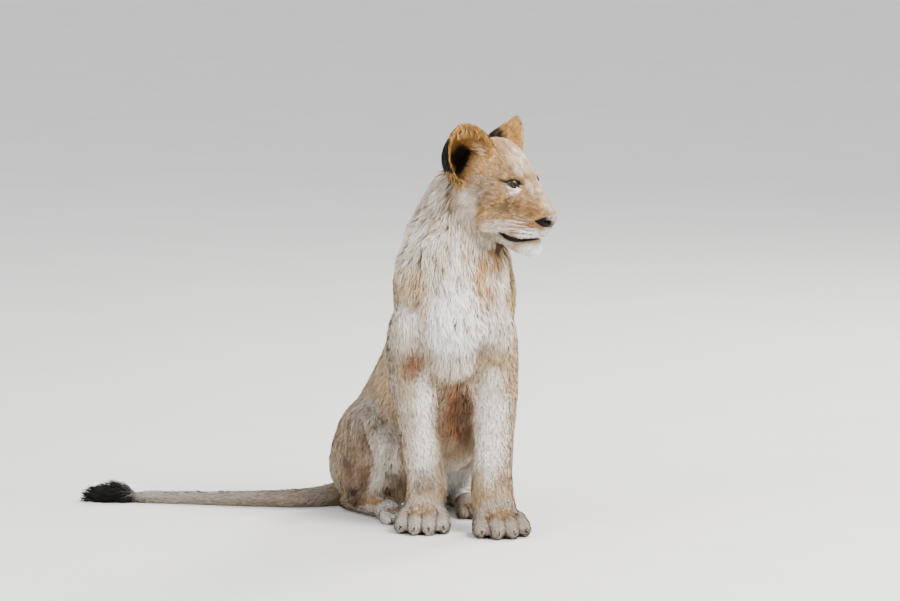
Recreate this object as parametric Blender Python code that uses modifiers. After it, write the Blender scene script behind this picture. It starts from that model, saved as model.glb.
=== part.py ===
"""A young lion sitting upright on a flat floor, life size, as a still museum model.

The lion faces -Y, +X is its left, +Z is up, and the floor is Z = 0. It is built from soft forms
(ellipsoids and lofted limbs) laid along a skeleton, fused into one skin, then parted with thin
cuts into head, neck, trunk, legs, paws, tail and tuft. Lengths are metres, angles degrees.
"""

import math

import bmesh
import bpy
from mathutils import Matrix, Vector

# Driving dimensions of a lion of about 14 months, sitting.
SIT_HEIGHT = 0.945         # floor to the tips of the ears
EYE_HEIGHT = 0.800         # floor to the middle of the eyes
EYE_RADIUS = 0.0165
EYE_SPACING = 0.083        # between the centres of the eyeballs
HEAD_YAW = 56.0            # the head is turned to the lion's left
HEAD_PITCH = 0.0
HIP_YAW = 32.0             # the hips face this far to the left of -Y
CHEST_YAW = 14.0
CUT = 0.0003               # gap between neighbouring nodes
SOLE_DEPTH = 0.003         # how far the soft soles are pressed flat by the floor

# Joint centres of the skeleton.
HEAD = Vector((0.150, 0.055, EYE_HEIGHT))
HIPS = Vector((-0.172, 0.392, 0.140))
HIP_LEFT = Vector((math.cos(math.radians(HIP_YAW)), math.sin(math.radians(HIP_YAW)), 0))
HIP_FORWARD = Vector((math.sin(math.radians(HIP_YAW)), -math.cos(math.radians(HIP_YAW)), 0))

# Triangles kept in each fused form.
BODY_TRIANGLES = 2060
HEAD_TRIANGLES = 1800
PAW_TRIANGLES = 240
TAIL_TRIANGLES = 200
TUFT_TRIANGLES = 110

COAT = {"sand": (0.58, 0.42, 0.25, 1), "cream": (0.74, 0.66, 0.53, 1), "tuft": (0.03, 0.025, 0.025, 1)}


def clear_scene():
    for old in list(bpy.data.objects):
        bpy.data.objects.remove(old)


def material(name, colour, roughness):
    made = bpy.data.materials.new(name)
    made.use_nodes = True
    shader = made.node_tree.nodes["Principled BSDF"]
    shader.inputs["Base Color"].default_value = colour
    shader.inputs["Roughness"].default_value = roughness
    shader.inputs["Metallic"].default_value = 0.0
    return made


def placed(origin, yaw=0.0, pitch=0.0, roll=0.0):
    """A frame that looks along its own -Y: turned to its left by yaw, nose down by pitch."""
    turn = Matrix.Rotation(math.radians(yaw), 4, "Z")
    nod = Matrix.Rotation(math.radians(pitch), 4, "X")
    lean = Matrix.Rotation(math.radians(roll), 4, "Y")
    return Matrix.Translation(origin) @ turn @ nod @ lean


def smooth_between(a, b, c, d, t):
    """Catmull-Rom value between b and c."""
    return 0.5 * (2 * b + (c - a) * t + (2 * a - 5 * b + 4 * c - d) * t * t
                  + (3 * b - a - 3 * c + d) * t * t * t)


class Form:
    """Closed soft shapes gathered in one mesh, in the frame of their own part."""

    def __init__(self, frame=None):
        self.mesh = bmesh.new()
        self.frame = frame or Matrix.Identity(4)

    def blob(self, centre, radii, yaw=0.0, pitch=0.0, roll=0.0):
        """An ellipsoid, such as a muscle or a pad."""
        place = self.frame @ placed(Vector(centre), yaw, pitch, roll) @ Matrix.Diagonal((*radii, 1))
        bmesh.ops.create_icosphere(self.mesh, subdivisions=4, radius=1.0, matrix=place)

    def pair(self, centre, radii, yaw=0.0, pitch=0.0, roll=0.0):
        """The same ellipsoid on the left and, mirrored, on the right."""
        x, y, z = centre
        self.blob((x, y, z), radii, yaw, pitch, roll)
        self.blob((-x, y, z), radii, -yaw, pitch, -roll)

    def loft(self, stations, sides=28, steps=5, plane="path", square=2.0):
        """A limb through stations of (x, y, z, half width, half depth, yaw), smoothly joined.

        Its rings lie across the path, or level, or upright like slices from front to back.
        """
        rows = []
        for i in range(len(stations) - 1):
            near = [stations[max(i - 1, 0)], stations[i], stations[i + 1],
                    stations[min(i + 2, len(stations) - 1)]]
            for k in range(steps):
                rows.append([smooth_between(*[s[n] for s in near], k / steps) for n in range(6)])
        rows.append(list(stations[-1]))
        middles = [Vector(r[:3]) for r in rows]
        rings = []
        for i, row in enumerate(rows):
            along = (middles[min(i + 1, len(rows) - 1)] - middles[max(i - 1, 0)]).normalized()
            if plane == "level":
                along = Vector((0, 0, 1))
            elif plane == "upright":
                along = Vector((0, -1, 0))
            yaw = math.radians(row[5])
            across = Vector((math.cos(yaw), math.sin(yaw), 0))
            across = (across - along * across.dot(along)).normalized()
            deep = along.cross(across)
            ring = []
            for k in range(sides):
                angle = 2 * math.pi * k / sides
                wide = math.copysign(abs(math.cos(angle)) ** (2 / square), math.cos(angle))
                tall = math.copysign(abs(math.sin(angle)) ** (2 / square), math.sin(angle))
                offset = across * (row[3] * wide) + deep * (row[4] * tall)
                ring.append(self.mesh.verts.new(self.frame @ (middles[i] + offset)))
            rings.append(ring)
        for low, high in zip(rings, rings[1:]):
            for k in range(sides):
                self.mesh.faces.new((low[k], low[k - 1], high[k - 1], high[k]))
        self.mesh.faces.new(rings[0])
        self.mesh.faces.new(rings[-1][::-1])

    def slices(self, profile, square=2.2):
        """A loft of upright slices, each given as (distance ahead, half width, top, bottom)."""
        self.loft([(0, -ahead, (top + low) / 2, half, (top - low) / 2, 0) for ahead, half, top, low in profile],
                  plane="upright", square=square)

    def fused(self, name, voxel, smoothing, triangles):
        """One closed skin over all the shapes, smoothed and thinned to a number of triangles."""
        bmesh.ops.recalc_face_normals(self.mesh, faces=self.mesh.faces)
        data = bpy.data.meshes.new(name)
        self.mesh.to_mesh(data)
        self.mesh.free()
        made = bpy.data.objects.new(name, data)
        bpy.context.scene.collection.objects.link(made)
        remesh = made.modifiers.new("fuse", "REMESH")
        remesh.mode = "VOXEL"
        remesh.voxel_size = voxel
        relax = made.modifiers.new("relax", "SMOOTH")
        relax.factor = 0.5
        relax.iterations = smoothing
        bake_modifiers(made)
        if triangles:
            thin_out(made, triangles)
        return made


def bake_modifiers(obj):
    """Puts what the modifiers make into the mesh itself."""
    bpy.context.view_layer.update()
    graph = bpy.context.evaluated_depsgraph_get()
    data = bpy.data.meshes.new_from_object(obj.evaluated_get(graph), depsgraph=graph)
    obj.modifiers.clear()
    obj.data = data


def thin_out(obj, triangles):
    fine = sum(len(p.vertices) - 2 for p in obj.data.polygons)
    thin = obj.modifiers.new("thin", "DECIMATE")
    thin.ratio = min(1.0, triangles / fine)
    thin.use_collapse_triangulate = True
    bake_modifiers(obj)


def keep_largest(obj):
    """Drops the crumbs that a cut can leave beside a piece."""
    mesh = bmesh.new()
    mesh.from_mesh(obj.data)
    left = set(mesh.faces)
    islands = []
    while left:
        reached = [left.pop()]
        for face in reached:
            for edge in face.edges:
                for other in edge.link_faces:
                    if other in left:
                        left.remove(other)
                        reached.append(other)
        islands.append(reached)
    islands.sort(key=lambda faces: sum(f.calc_area() for f in faces))
    for faces in islands[:-1]:
        bmesh.ops.delete(mesh, geom=faces, context="FACES")
    mesh.to_mesh(obj.data)
    mesh.free()


def boolean(obj, other, operation):
    cut = obj.modifiers.new("cut", "BOOLEAN")
    cut.operation = operation
    cut.object = other
    cut.solver = "EXACT"
    bake_modifiers(obj)


def copy_of(obj, name, grow=0.0):
    """A copy, with its surface moved outwards by grow."""
    made = bpy.data.objects.new(name, obj.data.copy())
    bpy.context.scene.collection.objects.link(made)
    if grow:
        swell = made.modifiers.new("swell", "DISPLACE")
        swell.strength = grow
        swell.mid_level = 0.0
        bake_modifiers(made)
    return made


def remove(*objects):
    for obj in objects:
        bpy.data.objects.remove(obj)


def block(name, frame, low, high):
    """A box between two corners, given in frame. It is a cutter."""
    mesh = bmesh.new()
    size = Vector(high) - Vector(low)
    middle = (Vector(high) + Vector(low)) / 2
    bmesh.ops.create_cube(mesh, size=1.0, matrix=frame @ Matrix.Translation(middle) @ Matrix.Diagonal((*size, 1)))
    data = bpy.data.meshes.new(name)
    mesh.to_mesh(data)
    mesh.free()
    made = bpy.data.objects.new(name, data)
    bpy.context.scene.collection.objects.link(made)
    return made


def part_off(whole, name, frame, low, high):
    """Takes what lies in a box out of whole, as a new object, and leaves a thin gap between them."""
    piece = copy_of(whole, name)
    inner = block("inner", frame, low, high)
    boolean(piece, inner, "INTERSECT")
    outer = block("outer", frame, [v - CUT for v in low], [v + CUT for v in high])
    boolean(whole, outer, "DIFFERENCE")
    remove(inner, outer)
    return piece


def head_frame():
    return placed(HEAD, HEAD_YAW, HEAD_PITCH)


def build_head():
    """Skull, cheeks, muzzle and jaw, in a frame whose origin is midway between the eyes."""
    form = Form(head_frame())
    # Cranium and the flat forehead that runs down into a broad, straight nose.
    form.slices([
        (-0.152, 0.054, 0.040, -0.060),
        (-0.120, 0.073, 0.078, -0.096),
        (-0.085, 0.081, 0.096, -0.112),
        (-0.050, 0.081, 0.095, -0.120),
        (-0.020, 0.074, 0.074, -0.124),
        (0.004, 0.061, 0.045, -0.126),
        (0.022, 0.049, 0.021, -0.125),
        (0.043, 0.041, -0.008, -0.124),
        (0.060, 0.036, -0.032, -0.119),
        (0.073, 0.030, -0.049, -0.100),
        (0.083, 0.021, -0.061, -0.088),
    ])
    form.pair((0.038, 0.007, 0.001), (0.024, 0.017, 0.020), yaw=-24)
    form.pair((0.029, -0.001, 0.020), (0.020, 0.015, 0.011), yaw=-24, pitch=30)
    # Cheek bones, chewing muscles and the ruff of hair behind the jaw.
    form.pair((0.053, 0.028, -0.034), (0.031, 0.046, 0.031), yaw=-16)
    form.pair((0.051, 0.052, -0.076), (0.035, 0.054, 0.042), yaw=-10)
    form.pair((0.068, 0.098, -0.054), (0.027, 0.046, 0.058), yaw=-16)
    # Upper lips, which are full at the front, and the nose pad.
    form.pair((0.0210, -0.028, -0.102), (0.0245, 0.030, 0.0235), yaw=-10, pitch=4)
    form.pair((0.032, -0.002, -0.099), (0.025, 0.036, 0.030))
    form.blob((0, -0.079, -0.077), (0.0190, 0.0150, 0.0120), pitch=38)
    # Lower jaw and chin.
    form.slices([
        (-0.100, 0.034, -0.080, -0.122),
        (-0.060, 0.038, -0.090, -0.140),
        (-0.020, 0.035, -0.102, -0.154),
        (0.010, 0.029, -0.112, -0.163),
        (0.030, 0.024, -0.120, -0.164),
        (0.045, 0.017, -0.126, -0.156),
    ])
    return form.fused("head", voxel=0.003, smoothing=9, triangles=HEAD_TRIANGLES)


# Rim of an ear in the head's frame, from its tip round by the front, the foot and the back.
EAR_RIM = (
    (0.108, 0.082, 0.133), (0.078, 0.053, 0.117), (0.061, 0.038, 0.078), (0.066, 0.054, 0.030),
    (0.077, 0.094, -0.008), (0.105, 0.112, 0.018), (0.134, 0.108, 0.062), (0.136, 0.097, 0.106),
)
EAR_ROOT = Vector((0.060, 0.148, 0.048))
EAR_WALL = 0.007


def build_ear(side):
    """A deep rounded cup, open outwards and forwards. side is 1 for the left ear, -1 for the right."""
    name = "ear_left" if side > 0 else "ear_right"
    count = len(EAR_RIM)
    rim = []
    for i in range(count):
        near = [EAR_RIM[(i + n) % count] for n in (-1, 0, 1, 2)]
        for k in range(2):
            rim.append(Vector([smooth_between(*[p[n] for p in near], k / 2) for n in range(3)]))
    middle = sum(rim, Vector()) / len(rim)
    mesh = bmesh.new()
    rows = []
    for level in (0.18, 0.42, 0.68, 0.88, 1.0):
        row = []
        for point in rim:
            spot = EAR_ROOT.lerp(middle, level ** 1.9) + (point - middle) * level ** 0.6
            row.append(mesh.verts.new(head_frame() @ Vector((side * spot.x, spot.y, spot.z))))
        rows.append(row)
    root = mesh.verts.new(head_frame() @ Vector((side * EAR_ROOT.x, EAR_ROOT.y, EAR_ROOT.z)))
    for k in range(len(rim)):
        mesh.faces.new((root, rows[0][k - 1], rows[0][k]))
        for low, high in zip(rows, rows[1:]):
            mesh.faces.new((low[k], low[k - 1], high[k - 1], high[k]))
    bmesh.ops.recalc_face_normals(mesh, faces=mesh.faces)
    data = bpy.data.meshes.new(name)
    mesh.to_mesh(data)
    mesh.free()
    made = bpy.data.objects.new(name, data)
    bpy.context.scene.collection.objects.link(made)
    shell = made.modifiers.new("shell", "SOLIDIFY")
    shell.thickness = EAR_WALL
    shell.offset = 0.0
    bake_modifiers(made)
    return made


def eye_centre(side):
    return head_frame() @ Vector((side * EYE_SPACING / 2, 0.0005, 0.0025))


def ball(name, centre, radius):
    mesh = bmesh.new()
    bmesh.ops.create_uvsphere(mesh, u_segments=12, v_segments=8, radius=radius, matrix=Matrix.Translation(centre))
    data = bpy.data.meshes.new(name)
    mesh.to_mesh(data)
    mesh.free()
    made = bpy.data.objects.new(name, data)
    bpy.context.scene.collection.objects.link(made)
    return made


def add_trunk(form):
    """Rump, loins, belly, ribs and chest, which turn from the hips' heading to the chest's."""
    form.loft([
        (-0.198, 0.440, 0.044, 0.064, 0.058, HIP_YAW),
        (-0.176, 0.412, 0.106, 0.098, 0.086, HIP_YAW),
        (-0.142, 0.364, 0.190, 0.108, 0.104, HIP_YAW),
        (-0.092, 0.298, 0.280, 0.112, 0.112, HIP_YAW - 3),
        (-0.048, 0.232, 0.368, 0.116, 0.122, 26),
        (-0.022, 0.172, 0.456, 0.118, 0.130, 20),
        (-0.008, 0.138, 0.540, 0.128, 0.124, CHEST_YAW),
        (-0.004, 0.126, 0.606, 0.124, 0.106, CHEST_YAW),
    ])
    form.blob((-0.002, 0.062, 0.500), (0.078, 0.055, 0.090), yaw=CHEST_YAW)
    form.blob((-0.002, 0.090, 0.415), (0.062, 0.055, 0.085), yaw=CHEST_YAW, pitch=10)
    # Belly behind the forelegs, and the groin that sinks towards the floor.
    form.loft([
        (0.001, 0.112, 0.430, 0.058, 0.056, CHEST_YAW),
        (0.004, 0.128, 0.360, 0.068, 0.062, 18),
        (0.006, 0.142, 0.280, 0.074, 0.066, 22),
        (-0.014, 0.180, 0.200, 0.080, 0.070, 28),
        (*from_hips(0.110, 0.0, 0.125), 0.086, 0.070, HIP_YAW),
        (*from_hips(0.080, 0.0, 0.050), 0.070, 0.062, HIP_YAW),
    ])


def add_neck(form):
    """A long thick neck that twists from the chest up to the turned head."""
    form.loft([
        (-0.005, 0.128, 0.540, 0.132, 0.112, CHEST_YAW),
        (-0.004, 0.128, 0.590, 0.134, 0.106, CHEST_YAW),
        (-0.003, 0.128, 0.635, 0.126, 0.100, 20),
        (0.003, 0.126, 0.682, 0.102, 0.096, 30),
        (0.024, 0.120, 0.730, 0.080, 0.084, 42),
        (0.047, 0.112, 0.780, 0.070, 0.074, HEAD_YAW),
        (0.060, 0.108, 0.825, 0.046, 0.052, HEAD_YAW),
    ], plane="level")
    # Full nape behind the head, where the mane will grow.
    form.loft([
        (-0.008, 0.156, 0.575, 0.112, 0.098, 25),
        (-0.013, 0.152, 0.635, 0.108, 0.092, 35),
        (-0.022, 0.154, 0.686, 0.095, 0.083, 48),
        (-0.012, 0.155, 0.736, 0.069, 0.068, HEAD_YAW),
        (-0.001, 0.153, 0.780, 0.057, 0.057, HEAD_YAW),
        (0.010, 0.148, 0.812, 0.044, 0.044, HEAD_YAW),
        (0.020, 0.142, 0.832, 0.024, 0.024, HEAD_YAW),
    ], plane="level")


def add_foreleg(form, side):
    """Shoulder blade, upper arm, elbow and forearm down to the wrist."""
    if side < 0:
        form.blob((-0.094, 0.142, 0.540), (0.046, 0.074, 0.110), yaw=10, pitch=-16)
        form.blob((-0.104, 0.104, 0.440), (0.050, 0.066, 0.090), yaw=10, pitch=14)
        form.loft([
            (-0.104, 0.112, 0.440, 0.050, 0.062, 8),
            (-0.100, 0.116, 0.385, 0.056, 0.060, 6),
            (-0.091, 0.108, 0.300, 0.049, 0.052, 4),
            (-0.083, 0.104, 0.232, 0.044, 0.045, 0),
            (-0.075, 0.104, 0.165, 0.041, 0.041, 0),
            (-0.065, 0.106, 0.120, 0.046, 0.042, 0),
            (-0.064, 0.104, 0.080, 0.048, 0.042, 0),
            (-0.069, 0.098, 0.050, 0.050, 0.045, 0),
            (-0.071, 0.092, 0.022, 0.044, 0.042, 0),
        ])
        return
    form.blob((0.092, 0.158, 0.540), (0.046, 0.074, 0.110), yaw=10, pitch=-16)
    form.blob((0.093, 0.108, 0.440), (0.046, 0.066, 0.090), yaw=10, pitch=16)
    form.loft([
        (0.094, 0.114, 0.440, 0.048, 0.062, 12),
        (0.093, 0.112, 0.385, 0.051, 0.060, 12),
        (0.095, 0.098, 0.300, 0.048, 0.052, 12),
        (0.091, 0.084, 0.232, 0.045, 0.045, 12),
        (0.087, 0.070, 0.165, 0.045, 0.042, 12),
        (0.084, 0.062, 0.120, 0.048, 0.042, 12),
        (0.085, 0.056, 0.080, 0.050, 0.042, 12),
        (0.091, 0.048, 0.050, 0.051, 0.045, 12),
        (0.094, 0.042, 0.022, 0.045, 0.042, 12),
    ])


def from_hips(forward, left, height):
    """A point given by its distances ahead of and to the left of the hips, and its height."""
    spot = HIPS + HIP_FORWARD * forward + HIP_LEFT * left
    return (spot.x, spot.y, height)


def add_hindleg(form, side, ahead, spread):
    """Folded thigh, knee, shank and the long instep that lies on the floor.

    ahead and spread say how much further forwards and outwards the foot and knee are.
    """
    def at(forward, left, height):
        return from_hips(forward, side * left, height)

    form.loft([
        (*at(-0.050, 0.050, 0.074), 0.056, 0.066, HIP_YAW),
        (*at(0.000, 0.062 + spread * 0.2, 0.118), 0.058, 0.092, HIP_YAW),
        (*at(0.058 + ahead * 0.3, 0.072 + spread * 0.6, 0.165), 0.056, 0.104, HIP_YAW),
        (*at(0.113 + ahead * 0.5, 0.080 + spread * 0.9, 0.204), 0.050, 0.082, HIP_YAW),
        (*at(0.158 + ahead * 0.7, 0.086 + spread, 0.228), 0.042, 0.050, HIP_YAW),
    ])
    form.loft([
        (*at(0.150 + ahead * 0.7, 0.086 + spread, 0.220), 0.040, 0.046, HIP_YAW),
        (*at(0.130 + ahead * 0.8, 0.088 + spread, 0.158), 0.037, 0.054, HIP_YAW),
        (*at(0.090 + ahead * 0.9, 0.088 + spread, 0.096), 0.032, 0.056, HIP_YAW),
        (*at(0.042 + ahead, 0.087 + spread, 0.048), 0.027, 0.052, HIP_YAW),
    ])
    form.loft([
        (*at(-0.028 + ahead, 0.090 + spread, 0.022), 0.021, 0.021, HIP_YAW),
        (*at(0.030 + ahead, 0.087 + spread, 0.023), 0.022, 0.022, HIP_YAW),
        (*at(0.090 + ahead, 0.082 + spread, 0.024), 0.026, 0.023, HIP_YAW),
        (*at(0.146 + ahead, 0.078 + spread, 0.026), 0.032, 0.024, HIP_YAW),
    ])


def build_body():
    form = Form()
    add_trunk(form)
    add_neck(form)
    for side in (-1, 1):
        add_foreleg(form, side)
    add_hindleg(form, -1, 0.0, 0.0)
    add_hindleg(form, 1, 0.038, 0.052)
    return form.fused("trunk", voxel=0.006, smoothing=18, triangles=BODY_TRIANGLES)


def build_paw(name, frame, scale, tall):
    """Four round toes in a shallow arc in front of the broad foot."""
    form = Form(frame @ Matrix.Diagonal((scale, scale, scale * tall, 1)))
    for across, ahead, turn in ((-0.047, 0.018, -10), (-0.0165, 0.042, -3), (0.0165, 0.042, 3), (0.047, 0.018, 10)):
        form.blob((across, -ahead, 0.022), (0.0188, 0.032, 0.0245), yaw=turn)
        form.blob((across * 0.9, -ahead + 0.022, 0.034), (0.0182, 0.029, 0.024), yaw=turn, pitch=-20)
    form.blob((0, 0.022, 0.030), (0.050, 0.050, 0.033))
    form.blob((0, 0.040, 0.045), (0.044, 0.040, 0.040))
    return form.fused(name, voxel=0.003, smoothing=2, triangles=PAW_TRIANGLES)


def paw_places():
    """Name, frame, size and relative height of each paw."""
    right = Vector(from_hips(0.182, -0.074, -SOLE_DEPTH))
    left = Vector(from_hips(0.216, 0.116, -SOLE_DEPTH))
    return (
        ("forepaw_right", placed(Vector((-0.073, 0.072, -SOLE_DEPTH)), -3), 1.0, 1.0),
        ("forepaw_left", placed(Vector((0.100, 0.022, -SOLE_DEPTH)), 13), 1.04, 0.97),
        ("hindpaw_right", placed(right, HIP_YAW + 4), 0.74, 0.88),
        ("hindpaw_left", placed(left, HIP_YAW - 8), 0.74, 0.88),
    )


def build_tail():
    """Leaves the rump low down and runs along the floor to the lion's right."""
    form = Form()
    path = [(-0.200, 0.440, 0.070, 0.030), (-0.246, 0.452, 0.036, 0.030), (-0.290, 0.424, 0.025, 0.027),
            (-0.360, 0.404, 0.021, 0.0235), (-0.470, 0.412, 0.018, 0.0200), (-0.600, 0.438, 0.0155, 0.0175),
            (-0.700, 0.456, 0.0145, 0.0165), (-0.760, 0.464, 0.0145, 0.0160)]
    form.loft([(x, y, z - SOLE_DEPTH / 2, r, r, 90) for x, y, z, r in path], sides=16)
    return form.fused("tail", voxel=0.004, smoothing=3, triangles=TAIL_TRIANGLES)


def build_tuft():
    """The tassel of long hair that ends the tail."""
    form = Form()
    path = [(-0.742, 0.461, 0.0150, 0.014), (-0.770, 0.465, 0.0200, 0.021), (-0.805, 0.470, 0.0220, 0.0245),
            (-0.840, 0.475, 0.0180, 0.0180), (-0.866, 0.479, 0.0110, 0.0080)]
    form.loft([(x, y, z - SOLE_DEPTH / 2, r, r, 90) for x, y, z, r in path], sides=16)
    return form.fused("tail_tuft", voxel=0.003, smoothing=3, triangles=TUFT_TRIANGLES)


def centre_on_floor(nodes):
    """Moves everything so that the middle of the bounding box stands over the origin."""
    points = [v.co for node in nodes for v in node.data.vertices]
    middle = [(min(p[n] for p in points) + max(p[n] for p in points)) / 2 for n in (0, 1)]
    for node in nodes:
        node.data.transform(Matrix.Translation((-middle[0], -middle[1], 0)))


def stand_on_floor(obj):
    """Cuts the soles and rump to small flats at floor level."""
    ground = block("ground", Matrix.Identity(4), (-2, -2, -1), (2, 2, 0.0))
    boolean(obj, ground, "DIFFERENCE")
    remove(ground)


def part_body(whole):
    """Parts the fused body into its named nodes. The boxes are given in frames along the cuts."""
    nodes = [whole]
    throat = placed(head_frame() @ Vector((0, 0.094, -0.060)), HEAD_YAW, -36)
    nodes.append(part_off(whole, "head", throat, (-0.2, -0.3, -0.2), (0.2, 0.0, 0.3)))
    collar = placed(Vector((-0.004, 0.130, 0.575)), CHEST_YAW, 22)
    nodes.append(part_off(whole, "neck", collar, (-0.25, -0.25, 0.0), (0.30, 0.25, 0.4)))
    # The hindpaws go first, in boxes that end between their toes and the heels of the forepaws.
    for name, frame, scale, tall in reversed(paw_places()):
        if name.startswith("fore"):
            low, high = (-0.078, -0.11, -0.1), (0.078, 0.095, 0.072)
        else:
            low, high = (-0.054, -0.060, -0.1), (0.054, 0.022, 0.085)
        nodes.append(part_off(whole, name, frame, low, high))
    for side, name in ((-1, "foreleg_right"), (1, "foreleg_left")):
        elbow = placed(Vector((side * 0.004, 0.140, 0.372)), 6, -14, side * 6)
        low = (min(side * 0.040, side * 0.25), -0.25, -0.4)
        high = (max(side * 0.040, side * 0.25), 0.032, 0.0)
        nodes.append(part_off(whole, name, elbow, low, high))
    for side, name in ((-1, "hindleg_right"), (1, "hindleg_left")):
        hip = placed(HIPS, HIP_YAW, -20)
        low = (min(side * 0.050, side * 0.3), -0.4, -0.4)
        high = (max(side * 0.050, side * 0.3), 0.4, 0.088)
        nodes.append(part_off(whole, name, hip, low, high))
    return nodes


def main():
    clear_scene()
    skin = material("sandy_coat", COAT["sand"], 0.8)
    pale = material("cream_coat", COAT["cream"], 0.8)
    dark = material("black_tuft", COAT["tuft"], 0.7)
    iris = material("amber_eye", (0.30, 0.22, 0.09, 1), 0.1)

    whole = build_body()
    head = build_head()
    boolean(whole, head, "UNION")
    for name, frame, scale, tall in paw_places():
        paw = build_paw(name, frame, scale, tall)
        boolean(whole, paw, "UNION")
        remove(paw)
    remove(head)
    swollen = copy_of(whole, "swollen", CUT)
    tuft = build_tuft()
    tail = build_tail()
    boolean(tail, swollen, "DIFFERENCE")
    swollen_tail = copy_of(tail, "swollen_tail", CUT)
    boolean(tuft, swollen_tail, "DIFFERENCE")
    ears = [build_ear(side) for side in (1, -1)]
    for ear in ears:
        boolean(ear, swollen, "DIFFERENCE")
    remove(swollen, swollen_tail)

    eyes = []
    for side, name in ((1, "eye_left"), (-1, "eye_right")):
        socket = ball("socket", eye_centre(side), EYE_RADIUS + CUT)
        boolean(whole, socket, "DIFFERENCE")
        remove(socket)
        eyes.append(ball(name, eye_centre(side), EYE_RADIUS))

    for obj in (whole, tail, tuft):
        stand_on_floor(obj)
    nodes = part_body(whole) + ears + eyes + [tail, tuft]
    for node in nodes:
        keep_largest(node)
    centre_on_floor(nodes)

    collection = bpy.data.collections.new("lion")
    bpy.context.scene.collection.children.link(collection)
    for node in nodes:
        for holder in list(node.users_collection):
            holder.objects.unlink(node)
        collection.objects.link(node)
        node.data.materials.clear()
        if node.name.startswith("eye"):
            node.data.materials.append(iris)
        elif node.name == "tail_tuft":
            node.data.materials.append(dark)
        else:
            node.data.materials.append(pale if "paw" in node.name else skin)


main()
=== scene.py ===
"""Looks of a young lion that sits upright on a plain floor, life size.

One skin stands for all the flesh of the solids and lies inside them by the depth of the coat. The
coat is thin mesh tufts that grow from the skin along the lie of the hair. Eyes, claws and whiskers
are pieces of their own. Lengths are metres, and angles are degrees unless a name says otherwise.

The body is planned in a frame of its own, the plan, where the breast faces -Y and +X is its left.
The head has a frame whose origin is midway between the eyes: x to its left, y back, z up.
"""

import math

import bmesh
import bpy
import numpy as np
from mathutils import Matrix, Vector, kdtree


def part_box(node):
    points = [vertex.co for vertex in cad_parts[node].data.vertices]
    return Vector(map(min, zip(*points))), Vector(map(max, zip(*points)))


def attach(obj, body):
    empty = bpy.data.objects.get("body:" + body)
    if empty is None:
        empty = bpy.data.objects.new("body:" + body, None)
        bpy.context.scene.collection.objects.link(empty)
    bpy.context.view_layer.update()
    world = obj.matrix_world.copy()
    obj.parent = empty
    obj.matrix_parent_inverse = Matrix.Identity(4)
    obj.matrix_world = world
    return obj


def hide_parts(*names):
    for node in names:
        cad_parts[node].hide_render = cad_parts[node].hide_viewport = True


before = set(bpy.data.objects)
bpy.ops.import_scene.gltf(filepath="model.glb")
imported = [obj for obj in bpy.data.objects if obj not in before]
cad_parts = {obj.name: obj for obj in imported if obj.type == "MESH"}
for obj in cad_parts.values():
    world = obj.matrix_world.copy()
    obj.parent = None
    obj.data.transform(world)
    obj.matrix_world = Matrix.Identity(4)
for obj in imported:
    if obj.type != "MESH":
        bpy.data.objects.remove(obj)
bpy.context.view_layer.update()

bl_info = {
    "name": "Sitting young lion",
    "version": (1, 0, 0),
    "blender": (4, 5, 0),
    "location": "3D View > Sidebar > Lion",
    "description": "Skin, coat, eyes, claws, whiskers and studio of a life-size young lion",
    "category": "Object",
}

# ---------------------------------------------------------------------------------------------
# Frames

HEAD_YAW = 56.0            # head and hips are turned this far to the left of the breast
HIP_YAW = 32.0
EYE_TURN = 20.0            # the opening of each eye is turned this far outwards
EYE_RIGHT_IN_PLAN = (0.1264, 0.0209, 0.8025)     # middle of the right eyeball
HEAD_IN_PLAN = (0.150, 0.055, 0.80)
HIPS_IN_PLAN = (-0.172, 0.392, 0.140)


def middle_of(node):
    low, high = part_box(node)
    return np.array((low + high) / 2)


EYES = {-1: middle_of("eye_right"), 1: middle_of("eye_left")}
EYE_RADIUS = (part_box("eye_left")[1].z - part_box("eye_left")[0].z) / 2
SHIFT = EYES[-1] - np.array(EYE_RIGHT_IN_PLAN)
FLESH = [n for n in sorted(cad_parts) if not n.startswith("eye")]


def axes_turned(yaw):
    """Rows are the left, back and up directions of a part that is turned to its left by yaw."""
    cosine, sine = math.cos(math.radians(yaw)), math.sin(math.radians(yaw))
    return np.array(((cosine, sine, 0), (-sine, cosine, 0), (0, 0, 1)))


def into(points, origin, axes):
    return (points - origin) @ axes.T


def out_of(points, origin, axes):
    return points @ axes + origin


HEAD_AXES = axes_turned(HEAD_YAW)
HEAD_ORIGIN = np.array(HEAD_IN_PLAN) + SHIFT
HIP_AXES = axes_turned(HIP_YAW)
HIPS_ORIGIN = np.array(HIPS_IN_PLAN) + SHIFT


def into_head(points):
    return into(points, HEAD_ORIGIN, HEAD_AXES)


def from_hips(forward, left, height):
    """A point of the plan given by its distances ahead of and to the left of the hips."""
    spot = np.array(HIPS_IN_PLAN) - HIP_AXES[1] * forward + HIP_AXES[0] * left
    return (spot[0], spot[1], height)


# ---------------------------------------------------------------------------------------------
# The lie and length of the coat: stretches of the body in the plan, each (from, to, thickness,
# hair length, direction of the hair or None for along the stretch).

DOWN_BACK = tuple(-HIP_AXES[1] * -0.35 + np.array((0, 0, -1.0)))     # lie of the hair on the thighs

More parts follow.
